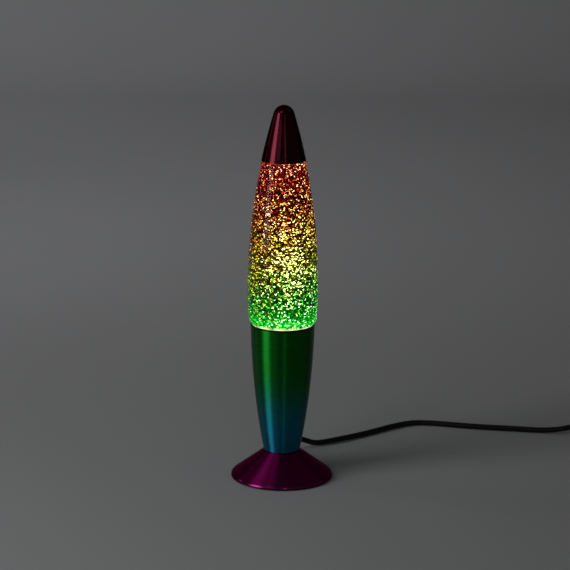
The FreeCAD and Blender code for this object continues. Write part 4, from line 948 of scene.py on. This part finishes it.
TIE_INNER = 25.9
TIE_OUTER = 39.4
TIE_TOP = 13.6
TIE_BOTTOM = 0.3
TIE_WIDTH = 9.0
TIE_THICK = 0.35
TIE_ROUND = 2.6
LAP_CENTRE = 3.5
LAP_LIFT = 0.3
LAP_LENGTH = 8.0
LAP_THICK = 0.7
LAP_ROUND = 0.25


def coil_tie():
    """A flat strip closed round the coil's strands, with its end lapped over the top."""
    bpy.ops.object.select_all(action="DESELECT")
    deep = TIE_OUTER - TIE_INNER
    across = (SWITCH_Y - COIL_OUTER) * MM
    bpy.ops.mesh.primitive_cube_add(size=1, location=((COIL_X - TIE_INNER - deep / 2) * MM, across,
                                                      (TIE_TOP + TIE_BOTTOM) / 2 * MM))
    band = bpy.context.active_object
    band.name = band.data.name = "coil_tie"
    band.scale = (deep * MM, TIE_WIDTH * MM, (TIE_TOP - TIE_BOTTOM) * MM)
    bpy.ops.object.transform_apply(location=True, scale=True)
    bpy.ops.object.mode_set(mode="EDIT")
    bpy.ops.mesh.select_mode(type="FACE")
    bpy.ops.mesh.select_all(action="DESELECT")
    bpy.ops.object.mode_set(mode="OBJECT")
    for face in band.data.polygons:
        face.select = abs(face.normal.y) > 0.5
    bpy.ops.object.mode_set(mode="EDIT")
    bpy.ops.mesh.delete(type="ONLY_FACE")
    bpy.ops.mesh.select_mode(type="EDGE")
    bpy.ops.mesh.select_all(action="DESELECT")
    bpy.ops.object.mode_set(mode="OBJECT")
    for edge in band.data.edges:
        first, last = (band.data.vertices[corner].co for corner in edge.vertices)
        edge.select = abs(first.y - last.y) > 0.5 * TIE_WIDTH * MM
    bpy.ops.object.mode_set(mode="EDIT")
    bpy.ops.mesh.bevel(offset=TIE_ROUND * MM, segments=5)
    bpy.ops.object.mode_set(mode="OBJECT")
    skin = band.modifiers.new("thickness", "SOLIDIFY")
    skin.thickness = TIE_THICK * MM
    skin.offset = 0
    bpy.ops.object.modifier_apply(modifier="thickness")
    bpy.ops.mesh.primitive_cube_add(size=1, location=((COIL_X - TIE_INNER - LAP_CENTRE) * MM, across,
                                                      (TIE_TOP + LAP_LIFT) * MM))
    lap = bpy.context.active_object
    lap.scale = (LAP_LENGTH * MM, (TIE_WIDTH - 1.0) * MM, LAP_THICK * MM)
    bpy.ops.object.transform_apply(location=True, scale=True)
    bpy.ops.object.mode_set(mode="EDIT")
    bpy.ops.mesh.select_all(action="SELECT")
    bpy.ops.mesh.bevel(offset=LAP_ROUND * MM, segments=2)
    bpy.ops.object.mode_set(mode="OBJECT")
    pick_only(band)
    lap.select_set(True)
    bpy.ops.object.join()
    bpy.ops.object.mode_set(mode="EDIT")
    bpy.ops.mesh.select_all(action="SELECT")
    bpy.ops.mesh.normals_make_consistent(inside=False)
    bpy.ops.object.mode_set(mode="OBJECT")
    bpy.ops.object.shade_smooth_by_angle(angle=math.radians(30))
    return band


tie = coil_tie()
give_finish(tie, "tie")
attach(tie, "base")


# Cords: finish and body, with the nodes they replace hidden

for cord in (lamp_cord, coiled_cord):
    cord.data.materials.append(FINISHES["cord"])
    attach(cord, "base")
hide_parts("cord_lead")
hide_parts("cord_link", "cord_coil", "cord_tail")


# Stage: pale floor that curves up into a wall, and soft lights

FLOOR_SIZE = 30.0
FLOOR_LEVEL = -0.0004
WALL_START = 2.4
WALL_BEND = 0.5
BEND_STEPS = 8
WALL_HEIGHT = 3.0
ROOM_LIGHT = 0.05


def stage_finish():
    material, tree, shader = new_finish("pale_paper", Roughness=0.9, Specular_IOR_Level=0.2)
    grain = effect(tree, "fine_grain", Size=4.0, Patch=180.0)
    feed(tree, shader.inputs["Base Color"], mixed(tree, spread(tree, grain["Patches"], 0.0, 1.0),
                                                  (0.452, 0.455, 0.467), (0.437, 0.44, 0.452)))
    return material


def build_stage():
    bpy.ops.object.select_all(action="DESELECT")
    bpy.ops.mesh.primitive_plane_add(size=FLOOR_SIZE, location=(0, WALL_START - FLOOR_SIZE / 2, FLOOR_LEVEL))
    floor = bpy.context.active_object
    floor.name = "pale_floor"
    bpy.ops.object.transform_apply(location=True)
    bpy.ops.object.mode_set(mode="EDIT")
    bpy.ops.mesh.select_mode(type="EDGE")
    bpy.ops.mesh.select_all(action="DESELECT")
    bpy.ops.object.mode_set(mode="OBJECT")
    for edge in floor.data.edges:
        edge.select = all(floor.data.vertices[corner].co.y > 0 for corner in edge.vertices)
    bpy.ops.object.mode_set(mode="EDIT")
    for step in range(1, BEND_STEPS + 1):
        angle = math.pi / 2 * step / BEND_STEPS
        before = math.pi / 2 * (step - 1) / BEND_STEPS
        back = WALL_BEND * (math.sin(angle) - math.sin(before))
        up = WALL_BEND * (math.cos(before) - math.cos(angle))
        bpy.ops.mesh.extrude_edges_move(TRANSFORM_OT_translate={"value": (0, back, up)})
    bpy.ops.mesh.extrude_edges_move(TRANSFORM_OT_translate={"value": (0, 0, WALL_HEIGHT)})
    bpy.ops.object.mode_set(mode="OBJECT")
    bpy.ops.object.shade_smooth()
    floor.data.materials.append(stage_finish())


build_stage()


def soft_light(name, direction_deg, distance, height, width, tall, brightness, aim=(0, 0, 0.15),
               spread_deg=180):
    """An area light round the lamp: 0 degrees is the camera's side, and more goes to the left."""
    light = bpy.data.lights.new(name, "AREA")
    light.shape = "RECTANGLE"
    light.size = width
    light.size_y = tall
    light.energy = brightness * math.pi * width * tall
    light.spread = math.radians(spread_deg)
    holder = bpy.data.objects.new(name, light)
    bpy.context.scene.collection.objects.link(holder)
    turn = math.radians(direction_deg)
    place = Vector((-distance * math.sin(turn), -distance * math.cos(turn), height))
    holder.location = place
    holder.rotation_euler = (place - Vector(aim)).to_track_quat("Z", "Y").to_euler()


# name, direction, distance, height, width, height of the panel, brightness
soft_light("key_softbox", 61.5, 1.6, 0.62, 0.69, 1.15, 3.8)
soft_light("front_panel", 29, 1.8, 0.90, 0.60, 0.32, 0.55)
soft_light("upper_panel", 37, 1.2, 1.55, 0.42, 0.42, 2.0)
soft_light("centre_strip", -8, 1.9, 0.60, 0.10, 1.1, 1.8)
soft_light("rim_strip", 110, 1.4, 0.45, 0.05, 0.4, 1.5)
soft_light("backdrop_panel", 139, 1.985, 1.6, 2.4, 1.2, 0.45, aim=(-0.2, 2.8, 0.0), spread_deg=120)
soft_light("floor_panel", 114, 2.19, 0.8, 0.6, 0.5, 0.58, aim=(0, 0.95, 0.0), spread_deg=52)

world = bpy.data.worlds.new("dim_room")
world.use_nodes = True
world.node_tree.nodes["Background"].inputs["Color"].default_value = (1.0, 1.0, 1.0, 1)
world.node_tree.nodes["Background"].inputs["Strength"].default_value = ROOM_LIGHT
bpy.context.scene.world = world
